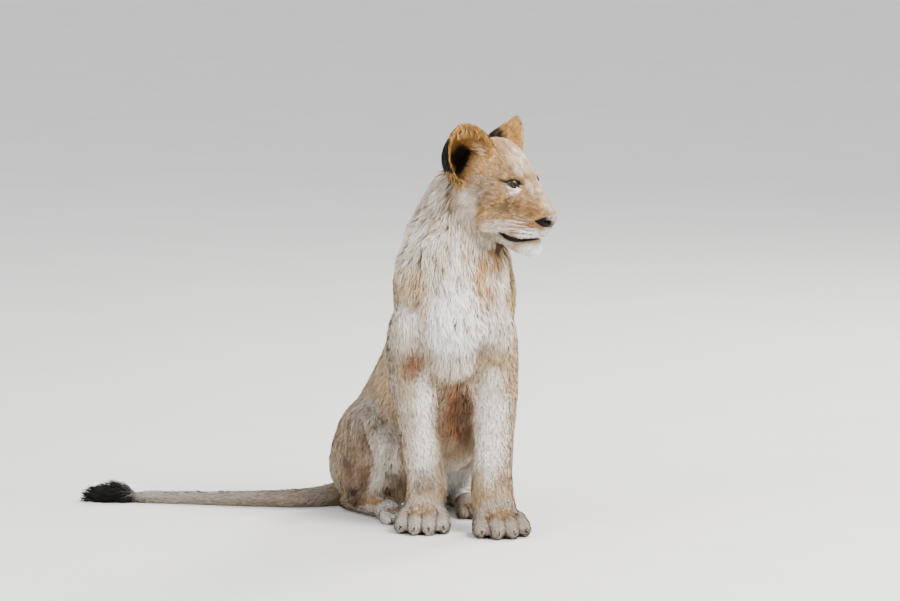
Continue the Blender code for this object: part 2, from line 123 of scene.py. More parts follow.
BODY_PLAN = (
    ((0.066, 0.158, 0.800), (-0.004, 0.205, 0.620), 0.070, 0.032, None),      # nape
    ((0.036, 0.080, 0.740), (-0.003, 0.070, 0.600), 0.080, 0.034, None),      # throat
    ((-0.003, 0.055, 0.600), (0.000, 0.070, 0.420), 0.075, 0.034, None),      # breast
    ((0.000, 0.095, 0.400), (-0.070, 0.230, 0.200), 0.080, 0.022, None),      # belly
    ((-0.070, 0.230, 0.200), (-0.100, 0.300, 0.060), 0.080, 0.028, None),     # groin
    ((-0.004, 0.205, 0.620), (-0.030, 0.250, 0.450), 0.090, 0.017, None),     # withers
    ((-0.030, 0.250, 0.450), (-0.110, 0.360, 0.260), 0.100, 0.016, None),     # back
    ((-0.110, 0.360, 0.260), (-0.195, 0.460, 0.060), 0.100, 0.017, None),     # rump
    ((-0.104, 0.142, 0.560), (-0.102, 0.114, 0.420), 0.055, 0.016, None),     # right shoulder
    ((-0.102, 0.114, 0.400), (-0.075, 0.104, 0.170), 0.045, 0.011, None),
    ((-0.075, 0.104, 0.165), (-0.069, 0.098, 0.060), 0.042, 0.009, None),
    ((-0.069, 0.090, 0.050), (-0.073, 0.030, 0.015), 0.045, 0.0066, None),    # right forepaw
    ((0.092, 0.158, 0.560), (0.093, 0.114, 0.420), 0.055, 0.016, None),       # left shoulder
    ((0.093, 0.112, 0.400), (0.087, 0.070, 0.170), 0.045, 0.011, None),
    ((0.087, 0.070, 0.165), (0.091, 0.048, 0.060), 0.042, 0.009, None),
    ((0.091, 0.040, 0.050), (0.100, -0.020, 0.015), 0.045, 0.0066, None),     # left forepaw
    # Thigh, shank, foot and paw of the right hind leg, then of the left one.
    (from_hips(-0.040, -0.062, 0.120), from_hips(0.110, -0.080, 0.200), 0.070, 0.015, DOWN_BACK),
    (from_hips(0.150, -0.086, 0.220), from_hips(0.045, -0.087, 0.055), 0.040, 0.013, None),
    (from_hips(0.000, -0.088, 0.022), from_hips(0.150, -0.078, 0.026), 0.028, 0.010, None),
    (from_hips(0.150, -0.078, 0.026), from_hips(0.205, -0.074, 0.012), 0.030, 0.0062, None),
    (from_hips(-0.040, 0.070, 0.120), from_hips(0.120, 0.120, 0.200), 0.070, 0.015, DOWN_BACK),
    (from_hips(0.176, 0.138, 0.220), from_hips(0.085, 0.139, 0.055), 0.040, 0.013, None),
    (from_hips(0.040, 0.140, 0.022), from_hips(0.186, 0.130, 0.026), 0.028, 0.010, None),
    (from_hips(0.186, 0.130, 0.026), from_hips(0.240, 0.112, 0.012), 0.030, 0.0062, None),
    ((-0.200, 0.440, 0.070), (-0.290, 0.424, 0.025), 0.030, 0.013, None),     # tail
    ((-0.290, 0.424, 0.025), (-0.470, 0.412, 0.018), 0.022, 0.012, None),
    ((-0.470, 0.412, 0.018), (-0.735, 0.460, 0.015), 0.018, 0.012, None),
    ((-0.750, 0.463, 0.016), (-0.870, 0.479, 0.010), 0.022, 0.030, None),     # tassel
)

# Lengths on the head as soft spots in the head's frame, alike on both sides: (middle, radii, length).
HEAD_HAIR = 0.0080         # where no spot is
HEAD_LENGTHS = (
    ((0.000, -0.070, -0.060), (0.040, 0.045, 0.040), 0.0040),     # end of the nose
    ((0.026, -0.045, -0.098), (0.034, 0.036, 0.028), 0.0046),     # upper lip
    ((0.042, -0.004, 0.002), (0.026, 0.026, 0.024), 0.0046),      # round the eye
    ((0.000, -0.030, -0.150), (0.030, 0.036, 0.024), 0.0120),     # chin
    ((0.072, 0.095, -0.060), (0.040, 0.062, 0.070), 0.0270),      # ruff behind the cheek
    ((0.040, 0.050, -0.125), (0.050, 0.060, 0.034), 0.0200),      # under the jaw
    ((0.000, 0.070, 0.095), (0.050, 0.060, 0.030), 0.0130),       # crown
)
NOSE_SOURCE = (0.0, -0.125, -0.078)      # the hair of the face spreads back from here

# Places of the left ear in the head's frame.
EAR_ROOT = np.array((0.060, 0.148, 0.048))
EAR_MIDDLE = np.array((0.096, 0.080, 0.068))
EAR_CAVITY = (0.062, 0.122, 0.046)
EAR_LOBE = (0.096, 0.118, 0.016)

SHORT_LIFT = 0.28          # depth of the short coat as a share of the length of its hair
LONG_LIFT = 0.36           # the same for the long hair of neck and breast


def soft_step(low, high, values):
    t = np.clip((values - low) / (high - low), 0, 1)
    return t * t * (3 - 2 * t)


def lengths_of(vectors):
    return np.sqrt((vectors * vectors).sum(1))


def unit(vectors):
    return vectors / np.maximum(lengths_of(vectors), 1e-9)[:, None]


EAR_AXIS = unit((EAR_MIDDLE - EAR_ROOT)[None])[0]


def soft_spot(points, middle, radii, hardness=0.4):
    """1 inside an ellipsoid and 0 outside, with a soft edge."""
    away = lengths_of((points - np.array(middle)) / np.array(radii))
    return 1 - soft_step(hardness, 1.0, away)


def mirrored(points):
    """Points of the head's frame, with the right side laid on the left."""
    return points * np.array((0, 1, 1)) + np.abs(points) * np.array((1, 0, 0))


def sided(side, x, y, z):
    """A direction of the head's frame for each point, mirrored where side is -1."""
    return np.stack((side * x, np.full(len(side), y), np.full(len(side), z)), 1)


def head_share(points):
    """1 on the head and 0 on the neck, given points of the row frame."""
    local = into_head(points)
    beyond = (local[:, 1] - 0.094) * 0.809 - (local[:, 2] + 0.060) * 0.588
    near = 1 - soft_step(0.20, 0.24, lengths_of(local))
    return (1 - soft_step(-0.020, 0.014, beyond)) * near


def body_weights(plan_points):
    """How strongly each stretch of BODY_PLAN governs each point, by nearness."""
    weights = np.empty((len(BODY_PLAN), len(plan_points)))
    for row, (start, end, thickness, _, _) in enumerate(BODY_PLAN):
        start = np.array(start)
        along = np.array(end) - start
        share = np.clip((plan_points - start) @ along / (along @ along), 0, 1)
        gap = lengths_of(plan_points - start - share[:, None] * along) / thickness
        weights[row] = 1 / (0.25 + gap * gap) ** 4
    return weights / weights.sum(0)


def hair_length(points):
    """Length of the coat at points of the row frame."""
    lengths = np.array([stretch[3] for stretch in BODY_PLAN])
    body = lengths @ body_weights(points - SHIFT)
    local = mirrored(into_head(points))
    head = np.full(len(points), HEAD_HAIR)
    for centre, radii, length in HEAD_LENGTHS:
        share = soft_spot(local, centre, radii, 0.2)
        head += share * (length - head)
    share = head_share(points)
    return body + share * (head - body)


def hair_direction(points, normals, ears):
    """Unit direction of the coat at points of the row frame, lying along the skin."""
    directions = [stretch[4] or np.array(stretch[1]) - np.array(stretch[0]) for stretch in BODY_PLAN]
    body = body_weights(points - SHIFT).T @ unit(np.array(directions))
    local = into_head(points)
    side = np.sign(local[:, 0])
    face = unit(local - np.array(NOSE_SOURCE)) + np.array((0, 0.30, 0))
    ruff = soft_spot(mirrored(local), (0.070, 0.090, -0.070), (0.055, 0.085, 0.085), 0.3)[:, None]
    face = unit(face + ruff * (sided(side, 0.25, 0.65, -0.75) * 1.4 - face))
    upright = EAR_AXIS + np.array((0.1, 0.25, 0.9))
    face = unit(face + ears[:, None] * (unit(sided(side, *upright)) - face)) @ HEAD_AXES
    share = np.maximum(head_share(points), ears)[:, None]
    flow = unit(body) + share * (face - unit(body))
    flow -= normals * (flow * normals).sum(1)[:, None]
    return unit(flow)


# ---------------------------------------------------------------------------------------------
# Repeatable noise

def hashed(cells, seed):
    """A number from 0 to 1 for each whole-numbered cell. The factors are large odd numbers."""
    value = cells[:, 0] * 374761393 + cells[:, 1] * 668265263 + cells[:, 2] * 1442695041
    value = (value + seed * 974634777) & 0xFFFFFFFF
    value = ((value ^ (value >> 13)) * 1274126177) & 0xFFFFFFFF
    value = ((value ^ (value >> 15)) * 974634777) & 0xFFFFFFFF
    return (value ^ (value >> 16)) / 4294967296.0


def noise(points, size, seed):
    """Smooth noise from 0 to 1 whose features are about size across."""
    scaled = points / np.array(size) + 1000.0
    cells = np.floor(scaled).astype(np.int64)
    part = scaled - cells
    part = part * part * (3 - 2 * part)
    total = np.zeros(len(points))
    for corner in range(8):
        step = np.array((corner & 1, corner >> 1 & 1, corner >> 2 & 1))
        weight = np.prod(np.where(step, part, 1 - part), axis=1)
        total += weight * hashed(cells + step, seed)
    return total


def nearest_seed(points, size, seed):
    """Offset from each point to the nearest of scattered points about size apart, and that one's number."""
    cells = np.floor(points / size + 1000.0).astype(np.int64)
    best = np.full(len(points), 1e9)
    offset = np.zeros_like(points)
    number = np.zeros(len(points))
    for n in range(27):
        cell = cells + np.array((n % 3 - 1, n // 3 % 3 - 1, n // 9 - 1))
        shifts = np.stack([hashed(cell, seed + k) for k in range(3)], 1)
        gap = (cell - 1000.0 + shifts) * size - points
        distance = (gap * gap).sum(1)
        closer = distance < best
        best[closer] = distance[closer]
        offset[closer] = gap[closer]
        number[closer] = shifts[closer, 0]
    return offset, number


# ---------------------------------------------------------------------------------------------
# Colours and markings, and the painted light and shade among them

def hex_colour(code):
    """An sRGB hex colour as linear numbers."""
    values = [int(code[n:n + 2], 16) / 255 for n in (0, 2, 4)]
    return tuple(v / 12.92 if v <= 0.04045 else ((v + 0.055) / 1.055) ** 2.4 for v in values)


def colour_prop(name, description, code):
    return bpy.props.FloatVectorProperty(name=name, description=description, subtype="COLOR", size=3,
                                         min=0.0, max=1.0, default=hex_colour(code))


def length_prop(name, description, default):
    return bpy.props.FloatProperty(name=name, description=description, subtype="DISTANCE", unit="LENGTH",
                                   default=default, min=0.0, precision=4)


class LionColours(bpy.types.PropertyGroup):
    """Colours of the coat and of the bare parts"""
    sand: colour_prop("Sand", "Ground colour of the back and sides", "AC9578")
    golden: colour_prop("Golden", "Warm patches of head and neck", "BC9460")
    face: colour_prop("Face", "Ground colour of the head", "A5845A")
    ear_gold: colour_prop("Ear gold", "Front and rim of the ears", "A67A3E")
    pale_tan: colour_prop("Pale tan", "Forehead and bridge of the nose", "D8C09D")
    cream: colour_prop("Cream", "Legs, throat and cheeks", "D8CFC1")
    white: colour_prop("White", "Breast, chin and lips", "F3F1ED")
    rust: colour_prop("Rust", "Elbows and belly", "84583A")
    grey_brown: colour_prop("Grey brown", "Outer sides of the legs and the hindquarters", "98866F")
    ash: colour_prop("Ash", "Grey of the nape, the lower legs and the tail", "ABA398")
    # Umber and black also serve as painted shade: in the folds of the hind legs, under the heels, between the
    # toes and in the hollows of the ears.
    umber: colour_prop("Umber", "Spots, streaks and creases", "5E4632")
    black: colour_prop("Black", "Backs of the ears, lips and tassel", "14100E")
    leather: colour_prop("Nose leather", "Bare skin of the nose", "0D0908")
    # Pale pinkish leather of the nose's front and top, made paler as a painted highlight where the top faces
    # the light.
    leather_pale_and_highlight: colour_prop("Pale leather", "Worn front and top of the nose", "A59083")
    iris: colour_prop("Iris", "Hazel of the eyes", "3E2C1A")


class LionSizes(bpy.types.PropertyGroup):
    """Sizes of the pieces"""
    body_spacing: length_prop("Body spacing", "Distance between the tufts of the short body coat", 0.00212)
    long_spacing: length_prop("Long spacing", "Distance between the locks of neck and breast", 0.00246)
    face_spacing: length_prop("Face spacing", "Distance between the tufts of the face", 0.00136)
    fringe_spacing: length_prop("Ear fringe spacing", "Distance between the long strands in the ears", 0.0026)
    body_width: length_prop("Body tuft width", "Width of a tuft of the body coat", 0.0019)
    long_width: length_prop("Lock width", "Width of a lock of neck and breast", 0.0021)
    face_width: length_prop("Face tuft width", "Width of a tuft of the face", 0.0011)
    skin_voxel: length_prop("Skin fineness", "Size of the skin's faces before it is thinned", 0.0030)
    claw: length_prop("Claw length", "Length of the claws that shows", 0.0130)
    whisker: length_prop("Whisker length", "Length of the longest whisker", 0.1050)


class LionStage(bpy.types.PropertyGroup):
    """Floor, lights and camera"""
    distance: length_prop("Camera distance", "From the camera to the lion", 12.0)
    elevation: bpy.props.FloatProperty(name="Camera elevation", description="Height of the view above level",
                                       subtype="ANGLE", default=math.radians(7.5))
    floor: colour_prop("Floor", "Plain pale floor", "D2CFCA")


# Marks of the head, in its frame and alike on both sides: (colour, middle, radii, strength).
HEAD_MARKS = (
    ("pale_tan", (0.000, -0.004, 0.056), (0.052, 0.050, 0.050), 0.95),      # forehead
    ("cream", (0.000, -0.004, 0.056), (0.046, 0.044, 0.046), 0.28),
    ("golden", (0.000, 0.060, 0.092), (0.060, 0.050, 0.030), 0.55),         # crown
    ("golden", (0.066, 0.044, 0.050), (0.036, 0.036, 0.040), 0.75),         # before the ear
    ("pale_tan", (0.000, -0.060, -0.030), (0.026, 0.066, 0.040), 0.85),     # bridge of the nose
    ("cream", (0.000, -0.088, -0.050), (0.022, 0.026, 0.018), 0.85),
    ("grey_brown", (0.070, 0.050, -0.010), (0.046, 0.052, 0.046), 0.70),    # cheek
    ("rust", (0.066, 0.034, -0.024), (0.036, 0.040, 0.036), 0.20),
    ("grey_brown", (0.052, 0.010, -0.050), (0.030, 0.036, 0.030), 0.55),    # hollow of the cheek
    ("rust", (0.050, -0.008, -0.046), (0.030, 0.030, 0.022), 0.50),
    ("umber", (0.050, -0.008, -0.046), (0.030, 0.030, 0.022), 0.14),
    ("golden", (0.030, -0.046, -0.056), (0.024, 0.036, 0.034), 0.60),       # beside the bridge
    ("rust", (0.031, -0.052, -0.054), (0.020, 0.030, 0.026), 0.60),
    ("umber", (0.036, -0.046, -0.056), (0.020, 0.030, 0.024), 0.26),
    ("rust", (0.024, -0.038, -0.046), (0.013, 0.024, 0.026), 0.45),
    ("rust", (0.034, -0.034, -0.076), (0.018, 0.024, 0.013), 0.45),
    ("cream", (0.046, -0.010, -0.018), (0.024, 0.018, 0.0075), 0.75),       # under the eye
    ("cream", (0.021, -0.034, -0.008), (0.0100, 0.022, 0.030), 0.65),       # before the eye
    ("cream", (0.030, -0.014, 0.028), (0.016, 0.018, 0.016), 0.45),         # over the eye
    ("rust", (0.044, 0.000, 0.026), (0.010, 0.014, 0.012), 0.45),           # brow
    ("rust", (0.016, -0.006, 0.040), (0.007, 0.016, 0.020), 0.40),
    ("golden", (0.066, 0.052, -0.086), (0.050, 0.064, 0.050), 0.35),        # low cheek
    ("cream", (0.060, 0.040, -0.100), (0.050, 0.060, 0.036), 0.60),
    ("cream", (0.080, 0.085, -0.050), (0.022, 0.036, 0.060), 0.75),         # ruff
    ("white", (0.030, -0.045, -0.110), (0.040, 0.050, 0.018), 0.95),        # upper lip
    ("white", (0.000, -0.085, -0.108), (0.034, 0.030, 0.016), 0.95),        # under the nose
    ("white", (0.000, -0.040, -0.150), (0.050, 0.066, 0.030), 1.00),        # chin
    ("cream", (0.050, 0.030, -0.128), (0.050, 0.060, 0.030), 0.85),
)

# Marks of the body, in the plan: (colour, middle, radii, strength).
BODY_MARKS = (
    ("cream", (0.000, 0.040, 0.640), (0.120, 0.090, 0.140), 0.75),          # throat
    ("cream", (0.000, 0.110, 0.700), (0.110, 0.090, 0.080), 0.70),
    ("ash", (-0.060, 0.150, 0.690), (0.110, 0.110, 0.130), 0.45),           # nape
    ("cream", (-0.080, 0.120, 0.660), (0.100, 0.100, 0.120), 0.75),
    ("cream", (-0.010, 0.120, 0.790), (0.080, 0.080, 0.060), 0.70),
    ("golden", (-0.090, 0.062, 0.592), (0.034, 0.060, 0.050), 0.42),        # warm patches of the neck
    ("golden", (0.066, 0.050, 0.604), (0.050, 0.080, 0.070), 0.66),
    # Painted light: pale tan, white and golden on the right edge of the neck under the jaw, so that it looks
    # lit although the head shades it.
    ("pale_tan", (0.094, 0.080, 0.600), (0.036, 0.050, 0.076), 0.95),
    ("white", (0.100, 0.080, 0.590), (0.036, 0.046, 0.076), 0.70),
    ("golden", (0.100, 0.080, 0.590), (0.034, 0.044, 0.074), 0.22),
    ("golden", (0.080, 0.074, 0.636), (0.034, 0.044, 0.036), 0.80),
    ("golden", (0.140, 0.090, 0.500), (0.036, 0.080, 0.120), 0.45),
    ("cream", (-0.120, 0.060, 0.500), (0.050, 0.070, 0.080), 0.60),         # shoulders
    ("ash", (-0.128, 0.080, 0.450), (0.034, 0.070, 0.060), 0.50),
    ("cream", (-0.100, 0.060, 0.450), (0.064, 0.070, 0.070), 0.55),
    ("cream", (0.100, 0.060, 0.480), (0.060, 0.070, 0.090), 0.80),
    ("white", (0.000, 0.020, 0.490), (0.100, 0.080, 0.120), 0.95),          # breast
    ("white", (0.002, 0.020, 0.610), (0.040, 0.070, 0.110), 0.55),
    ("white", (0.080, 0.060, 0.500), (0.030, 0.050, 0.060), 0.50),
    ("cream", (-0.004, 0.040, 0.395), (0.062, 0.070, 0.060), 0.85),
    ("cream", (-0.075, 0.085, 0.240), (0.062, 0.075, 0.200), 0.80),         # forelegs
    ("cream", (0.080, 0.060, 0.250), (0.066, 0.075, 0.200), 0.85),
    ("white", (-0.070, 0.055, 0.250), (0.034, 0.050, 0.170), 0.65),
    ("white", (0.076, 0.040, 0.240), (0.040, 0.055, 0.170), 0.52),
    ("rust", (-0.096, 0.050, 0.392), (0.028, 0.040, 0.052), 0.72),          # elbows
    ("golden", (0.085, 0.045, 0.410), (0.040, 0.045, 0.040), 0.30),
    ("rust", (0.098, 0.040, 0.385), (0.022, 0.040, 0.026), 0.40),
    ("grey_brown", (-0.004, 0.090, 0.270), (0.060, 0.090, 0.120), 0.90),    # dark between the legs
    ("rust", (-0.012, 0.085, 0.280), (0.034, 0.080, 0.100), 0.50),
    ("rust", (0.016, 0.085, 0.285), (0.036, 0.080, 0.110), 0.92),
    ("umber", (0.022, 0.090, 0.280), (0.028, 0.080, 0.120), 0.92),
    ("umber", (-0.022, 0.086, 0.277), (0.030, 0.080, 0.090), 0.30),
    ("cream", (0.004, 0.150, 0.130), (0.070, 0.080, 0.056), 0.75),
    ("ash", (-0.140, 0.110, 0.290), (0.040, 0.070, 0.190), 0.80),           # outer sides of the legs
    ("grey_brown", (-0.146, 0.120, 0.320), (0.034, 0.070, 0.120), 0.40),
    ("golden", (0.142, 0.110, 0.260), (0.028, 0.070, 0.190), 0.40),
    ("umber", (-0.072, 0.055, 0.148), (0.034, 0.040, 0.024), 0.40),         # wrists
    ("umber", (-0.066, 0.066, 0.112), (0.036, 0.044, 0.036), 0.52),
    ("rust", (0.112, 0.030, 0.130), (0.030, 0.040, 0.022), 0.32),
    ("umber", (-0.110, 0.260, 0.400), (0.060, 0.090, 0.090), 0.25),         # behind the shoulder
    ("ash", (-0.205, 0.235, 0.250), (0.070, 0.080, 0.070), 0.65),           # top of the thigh
    ("white", (-0.100, 0.050, 0.510), (0.040, 0.060, 0.060), 0.40),
    ("sand", (0.010, 0.225, 0.740), (0.090, 0.060, 0.130), 0.80),           # along the top of the neck
    ("sand", (-0.030, 0.250, 0.600), (0.150, 0.085, 0.260), 0.85),
)


# Each hind leg: side, and how much further ahead and outwards it lies than the right one does.
HIND_LEGS = ((-1, 0, 0), (1, 0.038, 0.052))

# Marks of the hind legs, in the hips' frame: (colour, place outwards, ahead and up, radii, hardness
# of the edge, how far the edge wanders, strengths on the right and on the left).
HIND_MARKS = (
    ("umber", (0.110, 0.070, -0.020), (0.050, 0.070, 0.100), 0.2, 0.02, (0.66, 0.66)),     # thigh
    # Knee: pale fur, made paler on the right knee as painted light where it faces the light.
    ("ash", (0.090, 0.176, 0.020), (0.060, 0.060, 0.120), 0.4, 0.0, (0.85, 0.45)),         # knee
    ("cream", (0.090, 0.176, 0.020), (0.050, 0.050, 0.090), 0.3, 0.0, (0.84, 0.40)),
    # Painted shadow: umber and black under the thigh behind the heel.
    ("umber", (0.105, 0.054, -0.094), (0.046, 0.058, 0.036), 0.4, 0.0, (0.92, 0.92)),      # heel
    ("black", (0.105, 0.054, -0.094), (0.050, 0.056, 0.034), 0.4, 0.0, (0.92, 0.92)),
    ("cream", (0.090, 0.118, -0.125), (0.040, 0.120, 0.024), 0.5, 0.0, (0.50, 0.50)),      # foot
    ("ear_gold", (0.096, 0.105, -0.100), (0.034, 0.090, 0.010), 0.4, 0.0, (0.60, 0.60)),   # instep
    # Shank: cream laid on its front as painted light, where it lies in shade between foreleg and thigh.
    ("cream", (0.085, 0.158, -0.060), (0.050, 0.050, 0.056), 0.4, 0.0, (0.85, 0.85)),      # shank
)


def blend(base, colour, share):
    return base + np.clip(share, 0, 1)[:, None] * (np.array(colour)[None] - base)


class Paint:
    """Colours of points, laid over one another by their names in LionColours."""

    def __init__(self, colours, first, count):
        self.colours = colours
        self.result = np.tile(np.array(getattr(colours, first)), (count, 1))

    def lay(self, name, share):
        self.result = blend(self.result, getattr(self.colours, name), share)


# Paws, with frames of their own that lie as the head's does: (name, place in the plan, yaw, scale,
# further scale of the height).
PAWS = (
    ("forepaw_right", (-0.073, 0.072, -0.003), -3, 1.0, 1.0),
    ("forepaw_left", (0.100, 0.022, -0.003), 13, 1.04, 0.97),
    ("hindpaw_right", from_hips(0.182, -0.074, -0.003), HIP_YAW + 4, 0.74, 0.88),
    ("hindpaw_left", from_hips(0.216, 0.116, -0.003), HIP_YAW - 8, 0.74, 0.88),
)
TOES = ((-0.047, 0.018), (-0.0165, 0.042), (0.0165, 0.042), (0.047, 0.018))     # (across, ahead)
CLEFTS = (-0.0318, 0.0, 0.0318)                                # places across, between the toes

# The line of the mouth seen from the side, in the head's frame, from under the nose to the corner:
# (back, up, thickness of the black lip).
MOUTH = ((-0.0720, -0.1165, 0.0016), (-0.0600, -0.1190, 0.0018), (-0.0450, -0.1228, 0.0022),
         (-0.0235, -0.1250, 0.0038), (-0.0040, -0.1230, 0.0076), (0.0100, -0.1200, 0.0092),
         (0.0220, -0.1165, 0.0082), (0.0310, -0.1135, 0.0038))


def into_paw(points, place, yaw):
    return into(points, np.array(place) + SHIFT, axes_turned(yaw))


def beside_line(flat, line):
    """For points (a, b): distance on the left of a broken line (less than 0 on its right), plain
    distance, and the line's third number there."""
    nearest = np.full(len(flat), 1e9)
    left = np.zeros(len(flat))
    value = np.zeros(len(flat))
    for begin, end in zip(line[:-1], line[1:]):
        start = np.array(begin[:2])
        along = np.array(end[:2]) - start
        t = np.clip((flat - start) @ along / (along @ along), 0, 1)
        apart = flat - start - t[:, None] * along
        gap = lengths_of(apart)
        closer = gap < nearest
        nearest[closer] = gap[closer]
        left[closer] = (apart @ np.array((-along[1], along[0])))[closer]
        value[closer] = (begin[2] + t * (end[2] - begin[2]))[closer]
    return np.sign(left) * nearest, nearest, value


def along_mouth(local):
    """Height above the line of the mouth (less than 0 below it) seen from the side, its distance,
    and the thickness of the black lip there."""
    above, nearest, thick = beside_line(local[:, 1:], MOUTH)
    on_lips = (lengths_of(local) < 0.19) & (local[:, 1] < 0.040)
    nearest = np.where(on_lips, nearest, 1.0)
    return np.sign(above) * nearest, nearest, thick


# The fold between thigh and shank seen from the side, in the hips' frame, from the flank down to
# the heel: (back, up, half the width of the fold).
FOLD = ((-0.122, 0.096, 0.004), (-0.133, 0.071, 0.007), (-0.152, 0.010, 0.009),
        (-0.112, -0.062, 0.009), (-0.050, -0.096, 0.006))


def fold_shares(hips):
    """Depth of the fold from 0 to 1, and 1 on the thigh's side of it, in the hips' frame."""
    depth = np.zeros(len(hips))
    behind = np.zeros(len(hips))
    for side, ahead, spread in HIND_LEGS:
        thigh_side, gap, width = beside_line(hips[:, 1:] + np.array((ahead, 0)), FOLD)
        outer = soft_step(0.064, 0.084, side * hips[:, 0] - spread)
        depth = np.maximum(depth, outer * np.exp(-(gap / width) ** 2))
        behind = np.maximum(behind, outer * np.exp(-((thigh_side - 0.018) / 0.014) ** 2))
    return depth, behind


def leather_share(local):
    """1 on the bare leather of the nose, in the head's frame."""
    local = mirrored(local)
    ahead, up = -local[:, 1], local[:, 2]
    top = -0.0615 - (0.097 - ahead) * 0.46
    bottom = np.maximum(-0.0785 - (ahead - 0.056) * 0.95, -0.1005)
    inside = np.minimum(np.minimum(top - up, up - bottom), (ahead - 0.057) * 0.8)
    return soft_step(-0.0008, 0.0012, inside)


def nostril_share(local):
    """1 in the hole of a nostril and in the slit behind it."""
    local = mirrored(local)
    hole = soft_spot(local, (0.0135, -0.0800, -0.0830), (0.0078, 0.0120, 0.0062), 0.35)
    slit = soft_spot(local, (0.0182, -0.0735, -0.0815), (0.0095, 0.0120, 0.0040), 0.35)
    return np.maximum(hole, slit)


def philtrum_share(local):
    """1 on the dark cleft that runs down from the nose."""
    across = np.abs(local[:, 0])
    front = (local[:, 1] < -0.050) & (local[:, 2] < -0.094) & (local[:, 2] > -0.121)
    return (1 - soft_step(0.0006, 0.0020, across)) * front


# Opening of an eye, as arcs on the eyeball: half its width, and its reach above and below.
EYE_HALF_WIDTH = 0.0168
EYE_ABOVE = 0.0072
EYE_BELOW = 0.0080
EYE_SLANT = 0.14
EYE_OUTWARDS = 0.0030      # the opening's middle lies this far outwards of the ball's front


def eye_opening(points, side):
    """For points of the row frame: how far outside the opening they lie (less than 0 inside), their
    distances outwards and upwards as arcs on the ball, and their distance from its centre."""
    local = into(points, EYES[side], axes_turned(HEAD_YAW + side * EYE_TURN))
    reach = np.maximum(lengths_of(local), 1e-6)
    outwards = np.arctan2(local[:, 0], -local[:, 1]) * side * EYE_RADIUS - EYE_OUTWARDS
    upwards = np.arcsin(local[:, 2] / reach) * EYE_RADIUS
    middle = EYE_SLANT * outwards - 0.0005
    bow = np.clip(1 - (outwards / EYE_HALF_WIDTH) ** 2, 0, 1) ** 0.75
    above = upwards - middle - EYE_ABOVE * bow
    below = middle - EYE_BELOW * bow - upwards
    outside = np.maximum(above, below)
    beyond = np.abs(outwards) - EYE_HALF_WIDTH
    corner = np.hypot(np.maximum(beyond, 0), upwards - middle)
    outside = np.where(beyond > 0, corner, outside)
    ahead = -local[:, 1] / reach
    return np.where(ahead > 0.05, outside, 1.0), outwards, upwards - middle, reach


def eye_rims(points):
    """1 on the bare dark rims of the lids, and 1 on the dark hair of the tear line and outer corner."""
    rims = np.zeros(len(points))
    marks = np.zeros(len(points))
    for side in (-1, 1):
        outside, outwards, upwards, reach = eye_opening(points, side)
        near = reach < EYE_RADIUS * 1.9
        rims = np.maximum(rims, near * (1 - soft_step(0.0008, 0.0020, outside - 0.0026 * (upwards > 0))))
        inner = -outwards - EYE_HALF_WIDTH
        tear = 1 - soft_step(0.0016, 0.0038, np.abs(upwards + 0.0010 + 0.75 * inner))
        tear *= soft_step(-0.004, 0.001, inner) * (1 - soft_step(0.009, 0.015, inner))
        outer = outwards - EYE_HALF_WIDTH
        tail = 1 - soft_step(0.0012, 0.0036, np.abs(upwards - 0.0016))
        tail *= soft_step(-0.004, 0.001, outer) * (1 - soft_step(0.006, 0.013, outer))
        marks = np.maximum(marks, np.maximum(tear, tail) * near)
    return rims, marks


def ear_inside(local, normals_local):
    """1 on the hollow side of an ear and 0 on its back, in the head's frame."""
    flip = sided(np.sign(local[:, 0]), 1, 1, 1)
    from_root = local * flip - EAR_ROOT
    radial = unit(from_root - (from_root @ EAR_AXIS)[:, None] * EAR_AXIS)
    return soft_step(-0.15, 0.35, (normals_local * flip * (EAR_AXIS * 0.7 - radial)).sum(1))


# Dark spots of the lips, in rows. Whiskers grow from the upper rows, but not from the first column.
SPOT_ROWS = 4
SPOT_COLUMNS = 5
SPOT_GAP = 0.0078
WHISKER_ROWS = 3


def lip_spots():
    """Spots on the left upper lip, row by row, in the head's frame, as (ahead, up)."""
    return [(0.056 - SPOT_GAP * column - 0.002 * row, -0.0865 - SPOT_GAP * row + 0.0011 * column)
            for row in range(SPOT_ROWS) for column in range(SPOT_COLUMNS)]


